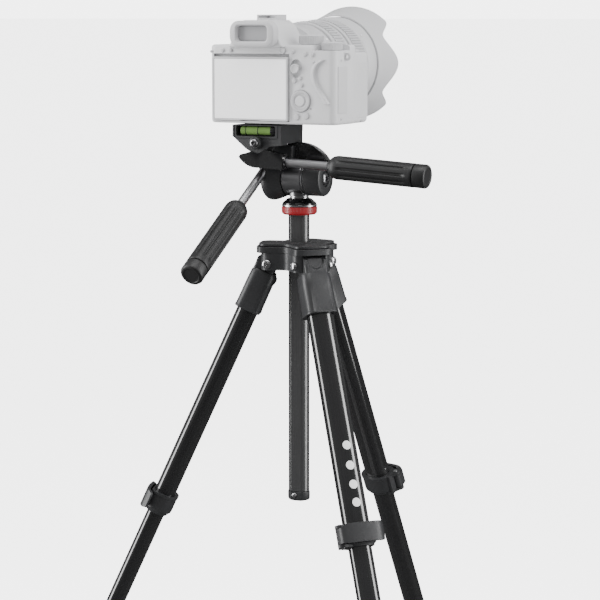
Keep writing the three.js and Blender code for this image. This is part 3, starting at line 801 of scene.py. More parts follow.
def ribs_tree():
    """Round-backed ribs that stand along z in a circle."""
    sizes = [(label, "Float") for label in ("Radius", "Low", "Length", "Width", "Height")]
    tree, given = geometry_tree("ring_of_ribs", [("Count", "Int"), *sizes, ("Finish", "Material")])
    ring = add(tree, "GeometryNodeMeshCircle", Vertices=given["Count"], Radius=given["Radius"])
    middle_of = maths(tree, "MULTIPLY_ADD", given["Length"], 0.5, given["Low"])
    raised = add(tree, "ShaderNodeCombineXYZ", Z=middle_of)
    lift = add(
        tree, "GeometryNodeSetPosition", Geometry=ring.outputs["Mesh"], Offset=raised.outputs["Vector"]
    )
    index = add(tree, "GeometryNodeInputIndex").outputs["Index"]
    turn = maths(tree, "MULTIPLY", index, maths(tree, "DIVIDE", math.tau, given["Count"]))
    angles = add(tree, "ShaderNodeCombineXYZ", Z=turn)
    rotation = add(tree, "FunctionNodeEulerToRotation", Euler=angles.outputs["Vector"])
    size = add(tree, "ShaderNodeCombineXYZ", X=given["Height"], Y=given["Width"], Z=given["Length"])
    bar = add(tree, "GeometryNodeMeshCylinder", Vertices=10, Radius=1.0, Depth=1.0).outputs["Mesh"]
    points, facing = lift.outputs["Geometry"], rotation.outputs["Rotation"]
    return copies_on(tree, given, points, bar, facing, size.outputs["Vector"])


ring_of_ribs = ribs_tree()


def ribs(name, place, coat, body, count, *sizes):
    """A piece made of ribs round z: how many, then radius, low end, length, width and height."""
    labels = ("Radius", "Low", "Length", "Width", "Height")
    values = {label: float(size) for label, size in zip(labels, sizes)}
    made = grown(ring_of_ribs, bmesh.new(), {"Count": count, "Finish": coat, **values})
    piece(name, made, place, coat, body)


knob_place = space(middle @ Vector((0, 0, knob_lift)), knob_axis, (0, 0, 1))
knob = solid([(4.6, 27), (5.4, 28), (8, 30), (8.4, 31.5), (8.4, 43), (7.2, 45.4), (5, 46), (4.4, 45.4)], 40)
stand_in("column_lock_knob", knob, knob_place, satin_nylon, "column_knob", edge=0.5)
ribs("lock_knob_ribs", knob_place, satin_nylon, "column_knob", 14, 8.3, 31.5, 11.5, 0.9, 0.7)
screw = solid([(2.4, 11), (3.1, 12), (3.1, 27.5)], 24)
piece("lock_knob_screw", screw, knob_place, polished_steel, "column_knob", edge=0.3)

# ---- Red lock ring and head base ---------------------------------------------------------
# Under the head a red ring clamps the column top. Over it lie a bright washer and the black
# cone of the head base, and a bright turned neck carries the barrel.
red_plastic = paint(
    "red_ring", "red_plastic", (0.26, 0.003, 0.007), 0.4, 3, 0.1, worn=(0.4, 0.03, 0.03),
    wear=0.3, patchy=0.08, Coat_Weight=0.2, Coat_Roughness=0.2,
)
gloss_black = paint(
    "gloss_plastic", "gloss_black", (0.004, 0.004, 0.0045), 0.12, 1.5, 0.04,
    worn=(0.1, 0.1, 0.1), wear=0.3, patchy=0.05, Specular_IOR_Level=0.7, Coat_Weight=0.6,
    Coat_Roughness=0.06,
)
ring = lathe(
    [(10.4, 44.2), (14.4, 44.2), (16, 45.7), (16, 50.7), (15.7, 51.3), (10.4, 51.3), (10.4, 44.2)],
    72,
)
stand_in("lock_ring", ring, middle, red_plastic, "lock_ring", edge=0.25)
ribs("lock_ring_ribs", middle, red_plastic, "lock_ring", 36, 15.95, 47.2, 3.2, 0.35, 0.22)
base = solid([(15.5, 53.3), (15.3, 54.6), (11.4, 58), (10.6, 58.6)], 72)
stand_in("head_base", base, middle, gloss_black, "column", "satin_plastic", edge=0.4)
washer = disc(15.9, 51.6, 53.2, 72)
piece("head_washer", washer, middle, polished_steel, "column", edge=0.3)
neck = solid([(8.7, 58.9), (8.7, 59.8), (8.2, 60.2), (8.2, 66)], 64)
piece("pan_neck", neck, middle, polished_steel, "pan_base", edge=0.2)

# ---- Pan barrel --------------------------------------------------------------------------
# The barrel turns on the neck. Its body is turned aluminium with a gunmetal finish, and a
# nylon cap with a socket-head screw closes its right end.
TILT_Z = 77.1
gunmetal = paint(
    "gunmetal", "gunmetal", (0.3, 0.3, 0.31), 0.32, (0.1, 0.1, 6), 0.03, worn=(0.5, 0.5, 0.5),
    wear=0.5, patchy=0.06, Metallic=1.0,
)
tilt_origin = middle @ Vector((0, 0, TILT_Z))
barrel_place = space(tilt_origin, (1, 0, 0), (0, 0, 1))
shell = solid(
    [
        (15.2, -11.2), (15.9, -10.4), (15.9, 7.6), (15.5, 7.9), (15.5, 8.5), (15.95, 8.8),
        (15.95, 10), (15.5, 10.3),
    ],
    96,
)
stem = moved(disc(9.6, -16.2, -4), axis="Y", turn=QUARTER)
stand_in("pan_barrel", join(shell, stem), barrel_place, gunmetal, "pan_base", edge=0.3)
cap = solid([(16, 10.6), (16, 24.8), (15.2, 26.3), (13.8, 27), (8.2, 27), (7.5, 26.3), (7.2, 24.6)], 96)
stand_in("barrel_end_cap", cap, barrel_place, satin_nylon, "pan_base", edge=0.35)
cap_centre = [((0, 0, 24.7), (0, 0, 1))]
screws("barrel_screw", cap_centre, 5.6, barrel_place, gunmetal, "pan_base", cross=False, edge=0.15)

# ---- Tilting head ------------------------------------------------------------------------
# The head's nylon mouldings tilt together round the barrel: a cup on the left, a glossy dome
# behind, and the eye that carries the platform's hinge pin.
SIDE_X, SIDE_Z = -27.4, 109.5
DOME_RADIUS = 32.4


def along_y(bm, x, z, y=0):
    """Lays a body that was turned round z along +y, over a point of the x and z plane."""
    return moved(bm, (x, y, z), "X", -QUARTER)


cup_line = curve([(15, -31), (18.6, -30.2), (20.7, -27.4), (20.6, -22.6), (18.4, -16.4), (16.5, -11.6)], 22)
cup_profile = [(0, -31), *cup_line, (5, -11.6), (5, -1.4), (0, -1.4)]
piece("look_tilt_cup", lathe(cup_profile, 96), barrel_place, satin_nylon, "tilt_head", edge=0.4)
ball = lathe(
    [
        (DOME_RADIUS * math.sin(math.radians(a)), -DOME_RADIUS * math.cos(math.radians(a)))
        for a in range(0, 181, 5)
    ],
    96,
)
keep = block(-40, 40, -1.5, 24, TILT_Z + 4, TILT_Z + 40)
shell = worked(moved(ball, (0, 0, TILT_Z)), [keep], "INTERSECT")
dome = cut(shell, moved(disc(16.7, -11.6, 60, 64), (0, 0, TILT_Z), "Y", QUARTER))
tilt_dome = piece("look_tilt_dome", dome, middle, gloss_black, "tilt_head", edge=1.4, rounds=4, turn=20)
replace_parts(tilt_dome, "tilt_housing")
eye_body = along_y(disc(8.2, 0, 22), SIDE_X, SIDE_Z, -9)
bridge = loft(
    [
        [(x, y, z) for x, y in ((SIDE_X - 6.5 * w, -9), (-3, -9), (-3, 13), (SIDE_X - 6.5 * w, 13))]
        for z, w in ((TILT_Z + 17, 0.2), (SIDE_Z - 3, 1))
    ]
)
eye_piece = cut(join(eye_body, bridge), along_y(disc(3.4, 0, 60, 32), SIDE_X, SIDE_Z, -40))
piece("tilt_eye", eye_piece, middle, satin_nylon, "tilt_head", edge=0.8)

# ---- Handles -----------------------------------------------------------------------------
# Two steel rods screw into the head, one for tilting forwards and one for tilting sideways.
# Each has a moulded rubber grip with long flutes, a round shoulder and a separate end cap.
ROD_RADIUS = 4
GRIP_RADIUS = 10.6
GRIP_FLUTES = 10
FLUTE_DEPTH = 1.4
FLUTE_STEPS = 14
NECK_RADIUS = 5.2
SHOULDER_LENGTH = 8.4
GRIP_CAP_LENGTH = 12.4
grip_rubber = paint(
    "handle_rubber", "grip_rubber", (0.012, 0.012, 0.0125), 0.46, 3.4, 0.06, wear=0.3,
    patchy=0.15, Specular_IOR_Level=0.5,
)
rod_steel = paint(
    "polished_rod", "rod_steel", (0.5, 0.5, 0.51), 0.3, (3, 3, 0.03), 0.008,
    worn=(0.6, 0.6, 0.6), wear=0.2, patchy=0.03, Metallic=1.0,
)


def ease(t):
    t = min(max(t, 0), 1)
    return t * t * (3 - 2 * t)


def fluted_grip(start, length):
    """A round grip whose long flutes run out before its shoulder and its end."""
    end = start + length - GRIP_CAP_LENGTH
    heights = [0, 0.3, 1, 2, 3.2, 4.6, 6.4, 8.4, 10, 11.5, 13, 15, 18, 24]
    heights += [24 + (end - start - 44) * i / 10 for i in range(1, 11)]
    heights += [end - start - back for back in (16, 12.5, 10.5, 9, 7.6, 6, 4, 2, 0.6, 0)]
    rings = [[(0, 0, start)]]
    steps = GRIP_FLUTES * FLUTE_STEPS
    for h in heights:
        below = max(SHOULDER_LENGTH - h, 0) / SHOULDER_LENGTH
        radius = NECK_RADIUS + (GRIP_RADIUS - NECK_RADIUS) * math.sqrt(1 - below**2)
        radius -= 0.4 * (h > end - start - 0.5)
        open_part = ease((h - 9) / 5) * ease((end - start - 5 - h) / 5)
        ring = []
        for i in range(steps):
            a = math.tau * i / steps
            across = abs((a * GRIP_FLUTES / math.tau) % 1 - 0.5)
            groove = FLUTE_DEPTH * open_part * ease((0.24 - across) / 0.10)
            ring.append(((radius - groove) * math.cos(a), (radius - groove) * math.sin(a), start + h))
        rings.append(ring)
    rings.append([(0, 0, end)])
    return loft(rings)


handles = (
    ("pan", "pan_handle_twist", "pan_handle", 57, 101, (1, 0, 0)),
    ("side", "side_handle_twist", "side_handle", 43.5, 94, (0, 0, 1)),
)
for name, joint, body, bare, grip, out in handles:
    place = space(joints[joint]["pos_m"], joints[joint]["axis"], out)
    rod = solid([(3.4, -9), (ROD_RADIUS, -8.2), (ROD_RADIUS, bare + 13)], 64)
    stand_in(f"{name}_rod", rod, place, rod_steel, body, edge=0.2)
    stand_in(f"{name}_grip", fluted_grip(bare, grip), place, grip_rubber, body, turn=50)
    end = bare + grip
    r = GRIP_RADIUS
    cap = solid(
        [
            (r - 1, end - 12.2), (r - 0.9, end - 11.6), (r - 0.1, end - 11.2), (r, end - 2.2),
            (r - 0.7, end - 0.7), (r - 2, end), (r - 3.4, end), (r - 3.8, end - 0.5),
        ],
        96,
    )
    piece(f"{name}_grip_cap", cap, place, grip_rubber, body, edge=0.3)
    collar_ring = lathe(
        [
            (4.1, bare - 1.6), (5.4, bare - 1.6), (5.8, bare - 1.2), (5.8, bare + 0.4),
            (4.1, bare + 0.4), (4.1, bare - 1.6),
        ]
    )
    piece(f"{name}_grip_ring", collar_ring, place, satin_nylon, body, "handle_rubber")
    seat = lathe([(4.35, -16), (6.4, -16), (6.4, -1.4), (5.9, -0.3), (5.3, 0), (4.35, 0), (4.35, -16)], 64)
    owner = "tilt_head" if name == "pan" else "side_head"
    piece(f"{name}_handle_socket", seat, place, gloss_black, owner, edge=0.3)

# ---- Side clamp and hinge pin ------------------------------------------------------------
# The sideways tilt is clamped by a glossy saddle that hangs under the platform and carries
# the side handle. Its hinge pin has a round head with a plain hexagonal recess.


def on_back(x, z):
    """The space of a body that is turned round an axis along -y, towards the camera's back."""
    return space(middle @ Vector((x, 0, z)), (0, -1, 0), (0, 0, 1))


under = arc(22.5, range(215, 287, 6))
nose = [(10, -22.8), (20, -23.3), (25.5, -23.2), (25.8, -16), (25.2, -9.8), (19, -9)]
hollow = arc(9.4, range(322, 232, -8))
saddle_line = [*under, *nose, *hollow, (-11, -9.4), (-16.5, -10.6)]
saddle = slab([(x + SIDE_X, z + SIDE_Z) for x, z in saddle_line], -31, -20.6)
rod_room = disc(6.5, -16, 30)
side_place = space(joints["side_handle_twist"]["pos_m"], joints["side_handle_twist"]["axis"], (0, 0, 1))
rod_room.transform(middle.inverted() @ side_place)
stand_in(
    "handle_clamp", cut(saddle, rod_room), middle, gloss_black, "side_head", edge=1.8,
    rounds=4, turn=24,
)
pin_place = on_back(SIDE_X, SIDE_Z)
pin = solid([(3, -11), (3, 30.4), (5.2, 30.4), (5.9, 31), (5.9, 35), (5, 36.3)])
stand_in("hinge_pin", pin, pin_place, satin_nylon, "tilt_head", edge=0.3)
pin_end = [((0, 0, 36.2), (0, 0, 1))]
screws("hinge_pin_screw", pin_end, 3.9, pin_place, gunmetal, "tilt_head", cross=False, edge=0.12)

# ---- Platform ----------------------------------------------------------------------------
# The platform is one satin moulding. Its front shows a slot for the bubble vial, and its top
# has a pocket for the quick-release plate, which a small lever locks.
PLATFORM_TOP = 125.3
VIAL_Y, VIAL_Z = -26.2, 120.1


def flared(x0, x1, z0, z1, radius, steps):
    """A rounded bar along y that is wider or narrower by some amount at each depth."""
    rings = []
    for y, grow in steps:
        line = rounded_rect(x0 - grow, x1 + grow, z0 - grow, z1 + grow, radius)
        rings.append([(x, y, z) for x, z in line])
    return loft(rings)


low_corner, high_corner = (middle.inverted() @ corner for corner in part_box("platform"))
x0, x1 = low_corner.x, high_corner.x
y0, y1 = low_corner.y, high_corner.y
top_plate = prism(rounded_rect(x0, x1, y0, y1, 3), SIDE_Z + 9.3, PLATFORM_TOP)
chin = [
    (-39.3, 104.4), (-35.6, 102.2), (-31.6, 100.7), (SIDE_X, 100), (-23.2, 100.7),
    (-19.4, 102.6), (-16.5, 105),
]
face_line = [
    (x0, PLATFORM_TOP - 0.2), (x0, 115), *curve(chin, 25), (-15, 106.4), (x1, 107.4),
    (x1, PLATFORM_TOP - 0.2),
]
front = slab(face_line, y0, -18)
wall_line = [(x1 - 4.8, y0 + 3), (x1, y0 + 3), (x1, y1 - 3), (x1 - 4.8, y1 - 3)]
wall = prism(wall_line, 108.6, PLATFORM_TOP - 0.5)
pocket = block(-47, -9, -20.5, 12.5, 120.4, PLATFORM_TOP + 1)
slot_mouth = flared(-48.6, -9.2, 115.4, 124.5, 1.6, ((y0 - 1, 0.35), (y0 + 0.6, 0), (-21.6, 0)))
inset = slab(rounded_rect(-50.6, -6.4, 112.8, 128, 1.2), y0 - 1, y0 + 0.5)
inset = cut(inset, slab(rounded_rect(-49.9, -7.1, 113.5, 129, 0.8), y0 - 2, y0 + 2))
pin_room = along_y(disc(3.7, 0, 40, 32), SIDE_X, SIDE_Z, -40)
platform = cut(join(top_plate, front, wall), pocket, slot_mouth, inset, pin_room)
stand_in("platform", platform, middle, satin_nylon, "side_head", edge=0.5, rounds=2)

vial_green = paint(
    "vial", "vial_green", (0.17, 0.30, 0.08), 0.08, 0.6, 0.02, worn=(0.5, 0.8, 0.3),
    patchy=0.3, Transmission_Weight=0.35, IOR=1.47,
)
vial_place = space(middle @ Vector((0, VIAL_Y, VIAL_Z)), (1, 0, 0), (0, 0, 1))
tube = solid([(3.4, -44.4), (3.8, -43.8), (3.8, -14.4)])
stand_in("bubble_vial", tube, vial_place, vial_green, "side_head", edge=0.3)
bubble_paint = paint("vial", "bubble_pale", (0.72, 0.85, 0.5), 0.1, 0.5, 0.02)
bubble = lathe(
    [
        (1.75 * math.sin(math.radians(a)), -33.4 - 5 * math.cos(math.radians(a)))
        for a in range(0, 181, 12)
    ],
    32,
)
piece("vial_bubble", moved(bubble, (0, -2.45, 0)), vial_place, bubble_paint, "side_head")
bands = [[(3.78, x), (3.95, x), (3.95, x + 0.6), (3.78, x + 0.6), (3.78, x)] for x in (-39.6, -27.2)]
piece("vial_lines", pooled(lathe(band) for band in bands), vial_place, gloss_black, "side_head")
vial_cap = solid([(4.0, -14.3), (4.0, -10.2), (3.4, -9.6)], 40)
piece("vial_cap", vial_cap, vial_place, gloss_black, "side_head", edge=0.3)

plate = prism(rounded_rect(-46.6, -9.4, -20, 12, 3), 120.8, 126.3)
stand_in("quick_release_plate", plate, middle, satin_nylon, "camera", edge=0.6)
arm_low, arm_high = (middle.inverted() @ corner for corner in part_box("quick_release_lever"))
arm = prism(rounded_rect(arm_low.x, arm_high.x, arm_low.y, arm_high.y, 2.4), arm_low.z, arm_high.z)
stand_in("quick_release_lever", arm, middle, satin_nylon, "release_lever", edge=1.1)

# ---- Camera body -------------------------------------------------------------------------
# The camera is a pale mirrorless one. Its shell is a moulding with round edges: a flat back, a
# hand grip at the right, a hump with the viewfinder on top, and a ring for the lens in front.
LENS_X, LENS_Z = -25, 177
SCREW_Y = -4
BODY = {"x0": -74.5, "x1": 52.3, "y0": -33, "y1": 12, "z0": 126.8, "z1": 196.7}
SCREEN = {"x0": -69.5, "x1": 6.2, "y0": -35.6, "y1": -30.4, "z0": 129.4, "z1": 186}
WHEEL_X, WHEEL_Z, WHEEL_RADIUS = 18, 147.5, 9.6
STICK_X, STICK_Z, STICK_RADIUS = 13.5, 176, 4.2
SHUTTER = (40, 27)
CUSTOM_Z = 191.7
BACK = -33
pale_shell = paint(
    "camera_control", "pale_shell", (0.60, 0.60, 0.61), 0.46, 2.2, 0.2, worn=(0.8, 0.8, 0.81),
    wear=0.3, patchy=0.06,
)
pale_trim = paint(
    "camera_control", "pale_trim", (0.52, 0.52, 0.53), 0.36, 1.4, 0.06,
    worn=(0.75, 0.75, 0.76), wear=0.4, patchy=0.05,
)
grip_skin = paint("camera_shell", "grip_skin", (0.55, 0.55, 0.56), 0.62, 1.1, 0.85, wear=0.2, patchy=0.08)


def softened(bm, width, turn=30):
    """Rounds every edge that is sharper than an angle."""
    sharp = [e for e in bm.edges if len(e.link_faces) == 2 and e.calc_face_angle() > math.radians(turn)]
    bmesh.ops.bevel(
        bm, geom=sharp, offset=width, segments=4, profile=0.5, affect="EDGES",
        clamp_overlap=True,
    )
    return bm


shell = softened(
    prism(rounded_rect(BODY["x0"], BODY["x1"], BACK, BODY["y1"], 7), BODY["z0"], BODY["z1"]),
    2.6,
)
hand_grip = softened(prism(rounded_rect(25, BODY["x1"], -5, 38, 9), BODY["z0"] + 0.1, 190), 3.5)
hump_line = [(-53, 194.4), (-50, 199), *curve([(-46, 208.6), (-43, 214), (-37, 218.4)], 9),
             *curve([(-13, 218.4), (-7, 214), (-4, 208.6)], 9), (0, 199), (3, 194.4)]
hump = softened(slab(hump_line, -38, 7), 2.2, turn=50)
mount = along_y(solid([(33.4, 10), (33.4, 14.2), (32.6, 15)], 96), LENS_X, LENS_Z)
screen_room = block(SCREEN["x0"] - 0.5, SCREEN["x1"] + 0.5, -40, -28.6, 128.9, 188.8)
wheel_room = along_y(disc(WHEEL_RADIUS + 0.45, -50, -30.4), WHEEL_X, WHEEL_Z)
stick_room = slab(
    [(STICK_X + dx * 5.9, STICK_Z + dz * 8.2) for dx, dz in rounded_rect(-1, 1, -1, 1, 0.96)],
    -40,
    -30,
)
button_room = along_y(disc(3.35, -50, -30), 0, CUSTOM_Z)
shutter_room = moved(disc(6.45, 180.2, 260), (*SHUTTER, 0))
dial_step = prism(rounded_rect(28.6, 61, -41, -4.4, 3), 191.9, 215)
socket = moved(disc(3.3, 120, 134), (LENS_X, SCREW_Y, 0))
camera_shell = cut(
    join(shell, hand_grip, hump, mount),
    screen_room,
    wheel_room,
    stick_room,
    button_room,
    shutter_room,
    dial_step,
    socket,
)
stand_in(
    "camera_body", camera_shell, middle, pale_shell, "camera", "camera_shell", edge=0.3,
    rounds=2, turn=40,
)

grip_cover = prism(rounded_rect(29, BODY["x1"] + 0.45, 2, 38.4, 8.6), 132, 181)
grip_hollow = prism(rounded_rect(10, BODY["x1"] - 0.5, -20, 37.4, 8.4), 120, 200)
piece("grip_cover", cut(grip_cover, grip_hollow), middle, grip_skin, "camera", edge=0.2)
side_line = [
    (BODY["x1"] - 0.6, -28),
    (BODY["x1"] + 0.4, -28),
    (BODY["x1"] + 0.4, -10),
    (BODY["x1"] - 0.6, -10),
]
piece("side_door", prism(side_line, 137, 178), middle, pale_trim, "camera", "camera_shell", edge=0.35)
rest_line = curve([(40, 184), (33, 179), (30.6, 170), (34, 160), (40, 152), (44, 145)], 18)
rest_section = ((-3.2, 0.6), (-1.6, -2.2), (1.2, -2.6), (3.6, 0.6))
rest = loft([[(x + dx, BACK + dy, z) for dx, dy in rest_section] for x, z in rest_line])
piece("thumb_rest", rest, middle, grip_skin, "camera", edge=0.9, rounds=4)

# ---- Viewfinder and shoe -----------------------------------------------------------------
# A soft eyecup frames the dark eyepiece window. On top of the hump a bent steel shoe with a
# lip at each side takes accessories.
eye_rubber = paint("camera_shell", "eye_rubber", (0.50, 0.50, 0.51), 0.6, 2.8, 0.2, wear=0.2, patchy=0.1)
eye_glass = paint(
    "screen", "eye_glass", (0.34, 0.34, 0.35), 0.1, 0.5, 0.02, patchy=0.05, Coat_Weight=0.8,
    Coat_Roughness=0.04,
)
cup_steps = ((-36, -1.4), (-39, 0), (-44.5, 0), (-46.6, -0.9), (-47.2, -2.2))
cup = flared(-46.6, -1.0, 194.9, 217.9, 8.4, cup_steps)
window = flared(-38.9, -9.1, 200.1, 213.4, 3.4, ((-48, 1.6), (-45.5, 0.2), (-41, 0)))
piece("eyecup", cut(cup, window), middle, eye_rubber, "camera", edge=0.5)
piece(
    "eyepiece",
    slab(rounded_rect(-38.7, -9.3, 200.3, 213.2, 3.2), -42.4, -41.2),
    middle,
    eye_glass,
    "camera",
    edge=0.3,
)
shoe_stock = block(-35, -15, -15.5, 4, 218.1, 223.3)
shoe_slot = join(block(-33.4, -16.6, -17, 2.6, 220, 222.2), block(-31, -19, -17, 2.6, 221, 225))
piece("hot_shoe", cut(shoe_stock, shoe_slot), middle, pale_trim, "camera", edge=0.35)

# ---- Buttons and fittings ----------------------------------------------------------------
# Small moulded buttons sit round the screen and on the top, and a strap lug stands at each
# side. The lamp beside the lower buttons shows card activity.
back_buttons = (
    (10.5, 190.6, 1.7), (22.5, 188.6, 2.0), (29.5, 188.2, 2.0), (11.8, 165.4, 2.3),
    (17.6, 167.6, 1.9), (18.8, 161.6, 2.1), (14.2, 133.4, 2.9), (23.6, 134.4, 2.9),
    (-60.5, 191.6, 2.0), (-52.2, 191.6, 2.0),
)
for number, (x, z, radius) in enumerate(back_buttons, 1):
    button = lathe([(0, 31.4), (radius, 31.4), (radius, 33.8), (radius - 0.5, 34.4), (0, 34.6)], 32)
    button = moved(button, (x, 0, z), "X", QUARTER)
    piece(f"back_button_{number}", button, middle, pale_trim, "camera", edge=0.15, rounds=2)
lamp = along_y(disc(0.9, -33.3, -31.6), 27.8, 141)
piece("card_lamp", lamp, middle, eye_glass, "camera", "camera_control", edge=0.2)
for name, x, side in (("left", BODY["x0"] + 0.3, -1), ("right", BODY["x1"] - 0.3, 1)):
    lug = lathe([(1.5, -0.9), (3.4, -0.9), (3.6, 0), (3.4, 0.9), (1.5, 0.9), (1.5, -0.9)], 32)
    lug = moved(lug, (x + side * 2.4, -14, 186.5), "X", QUARTER)
    piece(f"{name}_strap_lug", lug, middle, pale_trim, "camera", edge=0.2)
diopter = solid([(2.9, 0), (2.9, 3.4), (2.3, 3.9)], 32)
diopter = moved(diopter, (-47.8, -28, 205), "Y", -QUARTER)
piece("diopter_knob", diopter, middle, pale_trim, "camera", edge=0.2)
body_screws = [
    ((30.5, BACK + 0.1, 181.6), (0, -1, 0)),
    ((-72.0, BACK + 0.1, 190.5), (0, -1, 0)),
    ((BODY["x1"], -22, 183.5), (1, 0, 0)),
    ((BODY["x1"], -22, 132), (1, 0, 0)),
    ((BODY["x1"], 20, 128.9), (1, 0, 0)),
]
screws("camera_screws", body_screws, 1.25, middle, pale_trim, "camera")

# ---- Rear screen -------------------------------------------------------------------------
# The screen is a thin tray on a hinge at its top edge: a moulded frame and a blank pale panel
# under glass. The panel glows with painted light, though it is no lamp.
# Its white emission is a painted glow that makes the blank panel read brighter than the body.
pale_panel = paint(
    "screen", "pale_panel", (0.88, 0.88, 0.89), 0.14, 0.4, 0.02, worn=(0.8, 0.8, 0.8),
    wear=0.1, patchy=0.04, Coat_Weight=0.5, Coat_Roughness=0.05, Emission_Color=(1, 1, 1, 1),
    Emission_Strength=0.5,
)
s = SCREEN
tray = slab(rounded_rect(s["x0"], s["x1"], s["z0"], s["z1"], 1.6), s["y0"], s["y1"])
well = slab(
    rounded_rect(s["x0"] + 1.5, s["x1"] - 1.5, s["z0"] + 1.5, s["z1"] - 1.7, 0.9),
    s["y0"] - 1,
    s["y0"] + 0.8,
)
thumb_notch = slab(rounded_rect(-42, -21, s["z0"] - 1, s["z0"] + 0.5, 0.4), s["y0"] - 1, s["y1"] - 1.5)
stand_in("rear_screen", cut(tray, well, thumb_notch), middle, pale_trim, "rear_screen", "screen", edge=0.4)
panel = slab(
    rounded_rect(s["x0"] + 1.7, s["x1"] - 1.7, s["z0"] + 1.7, s["z1"] - 1.9, 0.8),
    s["y0"] + 0.25,
    s["y0"] + 1.4,
)
piece("screen_panel", panel, middle, pale_panel, "rear_screen", edge=0.15)

# ---- Camera controls ---------------------------------------------------------------------
# Every control turns or presses by itself: a wheel with an inner button, a stick, a grooved
# button, two knurled dials and the shutter button.


def on_top(x, y):
    """The space of a body that is turned round an upright axis of the camera."""
    return space(middle @ Vector((x, y, 0)), (0, 0, 1), (1, 0, 0))


wheel = solid(
    [(WHEEL_RADIUS, 30.8), (WHEEL_RADIUS, 34.2), (WHEEL_RADIUS - 0.7, 34.8), (6.2, 34.5), (5.6, 33.7)],
    96,
)
wheel_place = on_back(WHEEL_X, WHEEL_Z)
stand_in("control_wheel", wheel, wheel_place, pale_trim, "control_wheel", edge=0.25)
ribs("wheel_ribs", wheel_place, pale_trim, "control_wheel", 40, 7.9, 34.3, 0.55, 0.22, 1.4)
hub = solid([(4.6, 33.6), (4.6, 34.5), (4, 34.9)])
piece("wheel_hub", hub, wheel_place, pale_shell, "control_wheel", edge=0.2)
stick_place = on_back(STICK_X, STICK_Z)
stick = lathe(
    [
        (0, 30.4), (2, 30.4), (2, 33.6), (STICK_RADIUS, 34.6), (STICK_RADIUS, 36),
        (STICK_RADIUS - 0.6, 36.4), (2.4, 36.1), (0, 35.7),
    ]
)
stand_in("joystick", stick, stick_place, pale_trim, "joystick", edge=0.15)
ribs("joystick_ribs", stick_place, pale_trim, "joystick", 18, 3.2, 35.9, 0.5, 0.2, 0.6)
custom_place = on_back(0, CUSTOM_Z)
custom = solid([(3, 31.4), (3, 34), (2.6, 34.4), (2.1, 34.4), (1.9, 34)], 40)
stand_in("custom_button", custom, custom_place, pale_shell, "custom_button", edge=0.15)
for name, x, y, radius, low, high in (
    ("mode_dial", 17, -10, 11.2, 197, 205.5),
    ("exposure_dial", 40, -15, 9.4, 192.2, 199.5),
):
    dial_place = on_top(x, y)
    r = radius - 0.45
    dial = solid([(r, low), (r, high - 0.9), (r - 0.8, high), (r - 2.2, high), (r - 2.5, high - 0.3)], 72)
    stand_in(name, dial, dial_place, pale_trim, name, edge=0.2)
    ribs(name + "_knurls", dial_place, pale_trim, name, 44, r, low + 0.8, high - low - 2, 0.34, 0.42)
shutter_place = on_top(*SHUTTER)
shutter = lathe([(0, 182), (6, 182), (6, 191.4), (5.4, 192.2), (4, 192.5), (0, 192.2)], 64)
stand_in("shutter_button", shutter, shutter_place, pale_trim, "shutter_button", edge=0.2)

# ---- Lens --------------------------------------------------------------------------------
# The lens is a long aluminium barrel with a ribbed rubber zoom ring and a wider focus ring,
# a groove and an index bar at each step, and a coated front glass deep in the hood.
pale_lens = paint(
    "camera_lens", "pale_lens", (0.50, 0.50, 0.51), 0.38, (1.8, 1.8, 0.4), 0.14,
    worn=(0.5, 0.5, 0.51), wear=0.4, patchy=0.05,
)
pale_rubber = paint("camera_lens", "pale_rubber", (0.42, 0.42, 0.43), 0.62, 2.6, 0.3, wear=0.2, patchy=0.08)
front_glass = paint(
    "screen", "front_glass", (0.05, 0.055, 0.07), 0.05, 0.3, 0.0, patchy=0.04, Coat_Weight=1.0,
    Coat_Roughness=0.02,
)
GLASS_RADIUS = 34
GLASS_BOW = math.radians(28)
lens_place = space(middle @ Vector((LENS_X, 0, LENS_Z)), joints["zoom_ring_turn"]["axis"], (0, 0, 1))
barrel = solid(
    [
        (33, 15.3), (33, 17.6), (34, 18.4), (37.2, 19.2), (37.5, 20), (37.5, 27), (36.9, 27.4),
        (36.9, 28.4), (37.5, 28.8), (37.5, 51.4), (37, 52), (36, 52), (36, 111.6),
        (40.6, 111.9), (41.2, 112.8), (43.9, 119.6), (44.2, 121), (44.2, 126), (43.8, 126.4),
        (43.8, 127.2), (44.2, 127.6), (44.2, 132), (43.6, 133), (40, 133), (39.4, 131.6),
        (39, 127), (38, 126.6), (37.4, 122.5), (36.4, 122), (36.4, 118.5),
    ],
    112,
)
stand_in("lens_barrel", barrel, lens_place, pale_lens, "camera", edge=0.25, rounds=2)
glass_turns = [math.radians(a) for a in range(0, 29, 2)]
glass_line = [
    (
        GLASS_RADIUS * math.sin(a) / math.sin(GLASS_BOW),
        118.6 + 0.1 + 18 * (math.cos(a) - math.cos(GLASS_BOW)),
    )
    for a in glass_turns
]
glass = lathe([*glass_line, (GLASS_RADIUS, 118.5), (0, 118.5)], 72)
piece("front_glass", glass, lens_place, front_glass, "camera", turn=40)
for name, low, high, radius, count in (
    ("zoom_ring", 52.4, 80.4, 40.4, 72),
    ("focus_ring", 81, 111.2, 42, 90),
):
    r = radius - 0.7
    sleeve_line = [
        (36.3, low), (r - 0.6, low), (r, low + 0.7), (r, low + 4), (r - 0.5, low + 4.4),
        (r - 0.5, high - 4.4), (r, high - 4), (r, high - 0.7), (r - 0.6, high), (36.3, high),
        (36.3, low),
    ]
    stand_in(name, lathe(sleeve_line, 112), lens_place, pale_lens, name, edge=0.2, rounds=2)
    ribs(name + "_ribs", lens_place, pale_rubber, name, count, r, low + 5, high - low - 10, 0.95, 0.68)
index_bars = []
for y, radius in ((47.5, 37.4), (115, 42)):
    bar = moved(block(-0.5, 0.5, -0.25, 0.25, -1.6, 1.6), (0, radius, y))
    index_bars.append(moved(bar, turn=math.radians(-40)))
piece("index_bars", pooled(index_bars), lens_place, white_ink, "camera", "camera_lens")

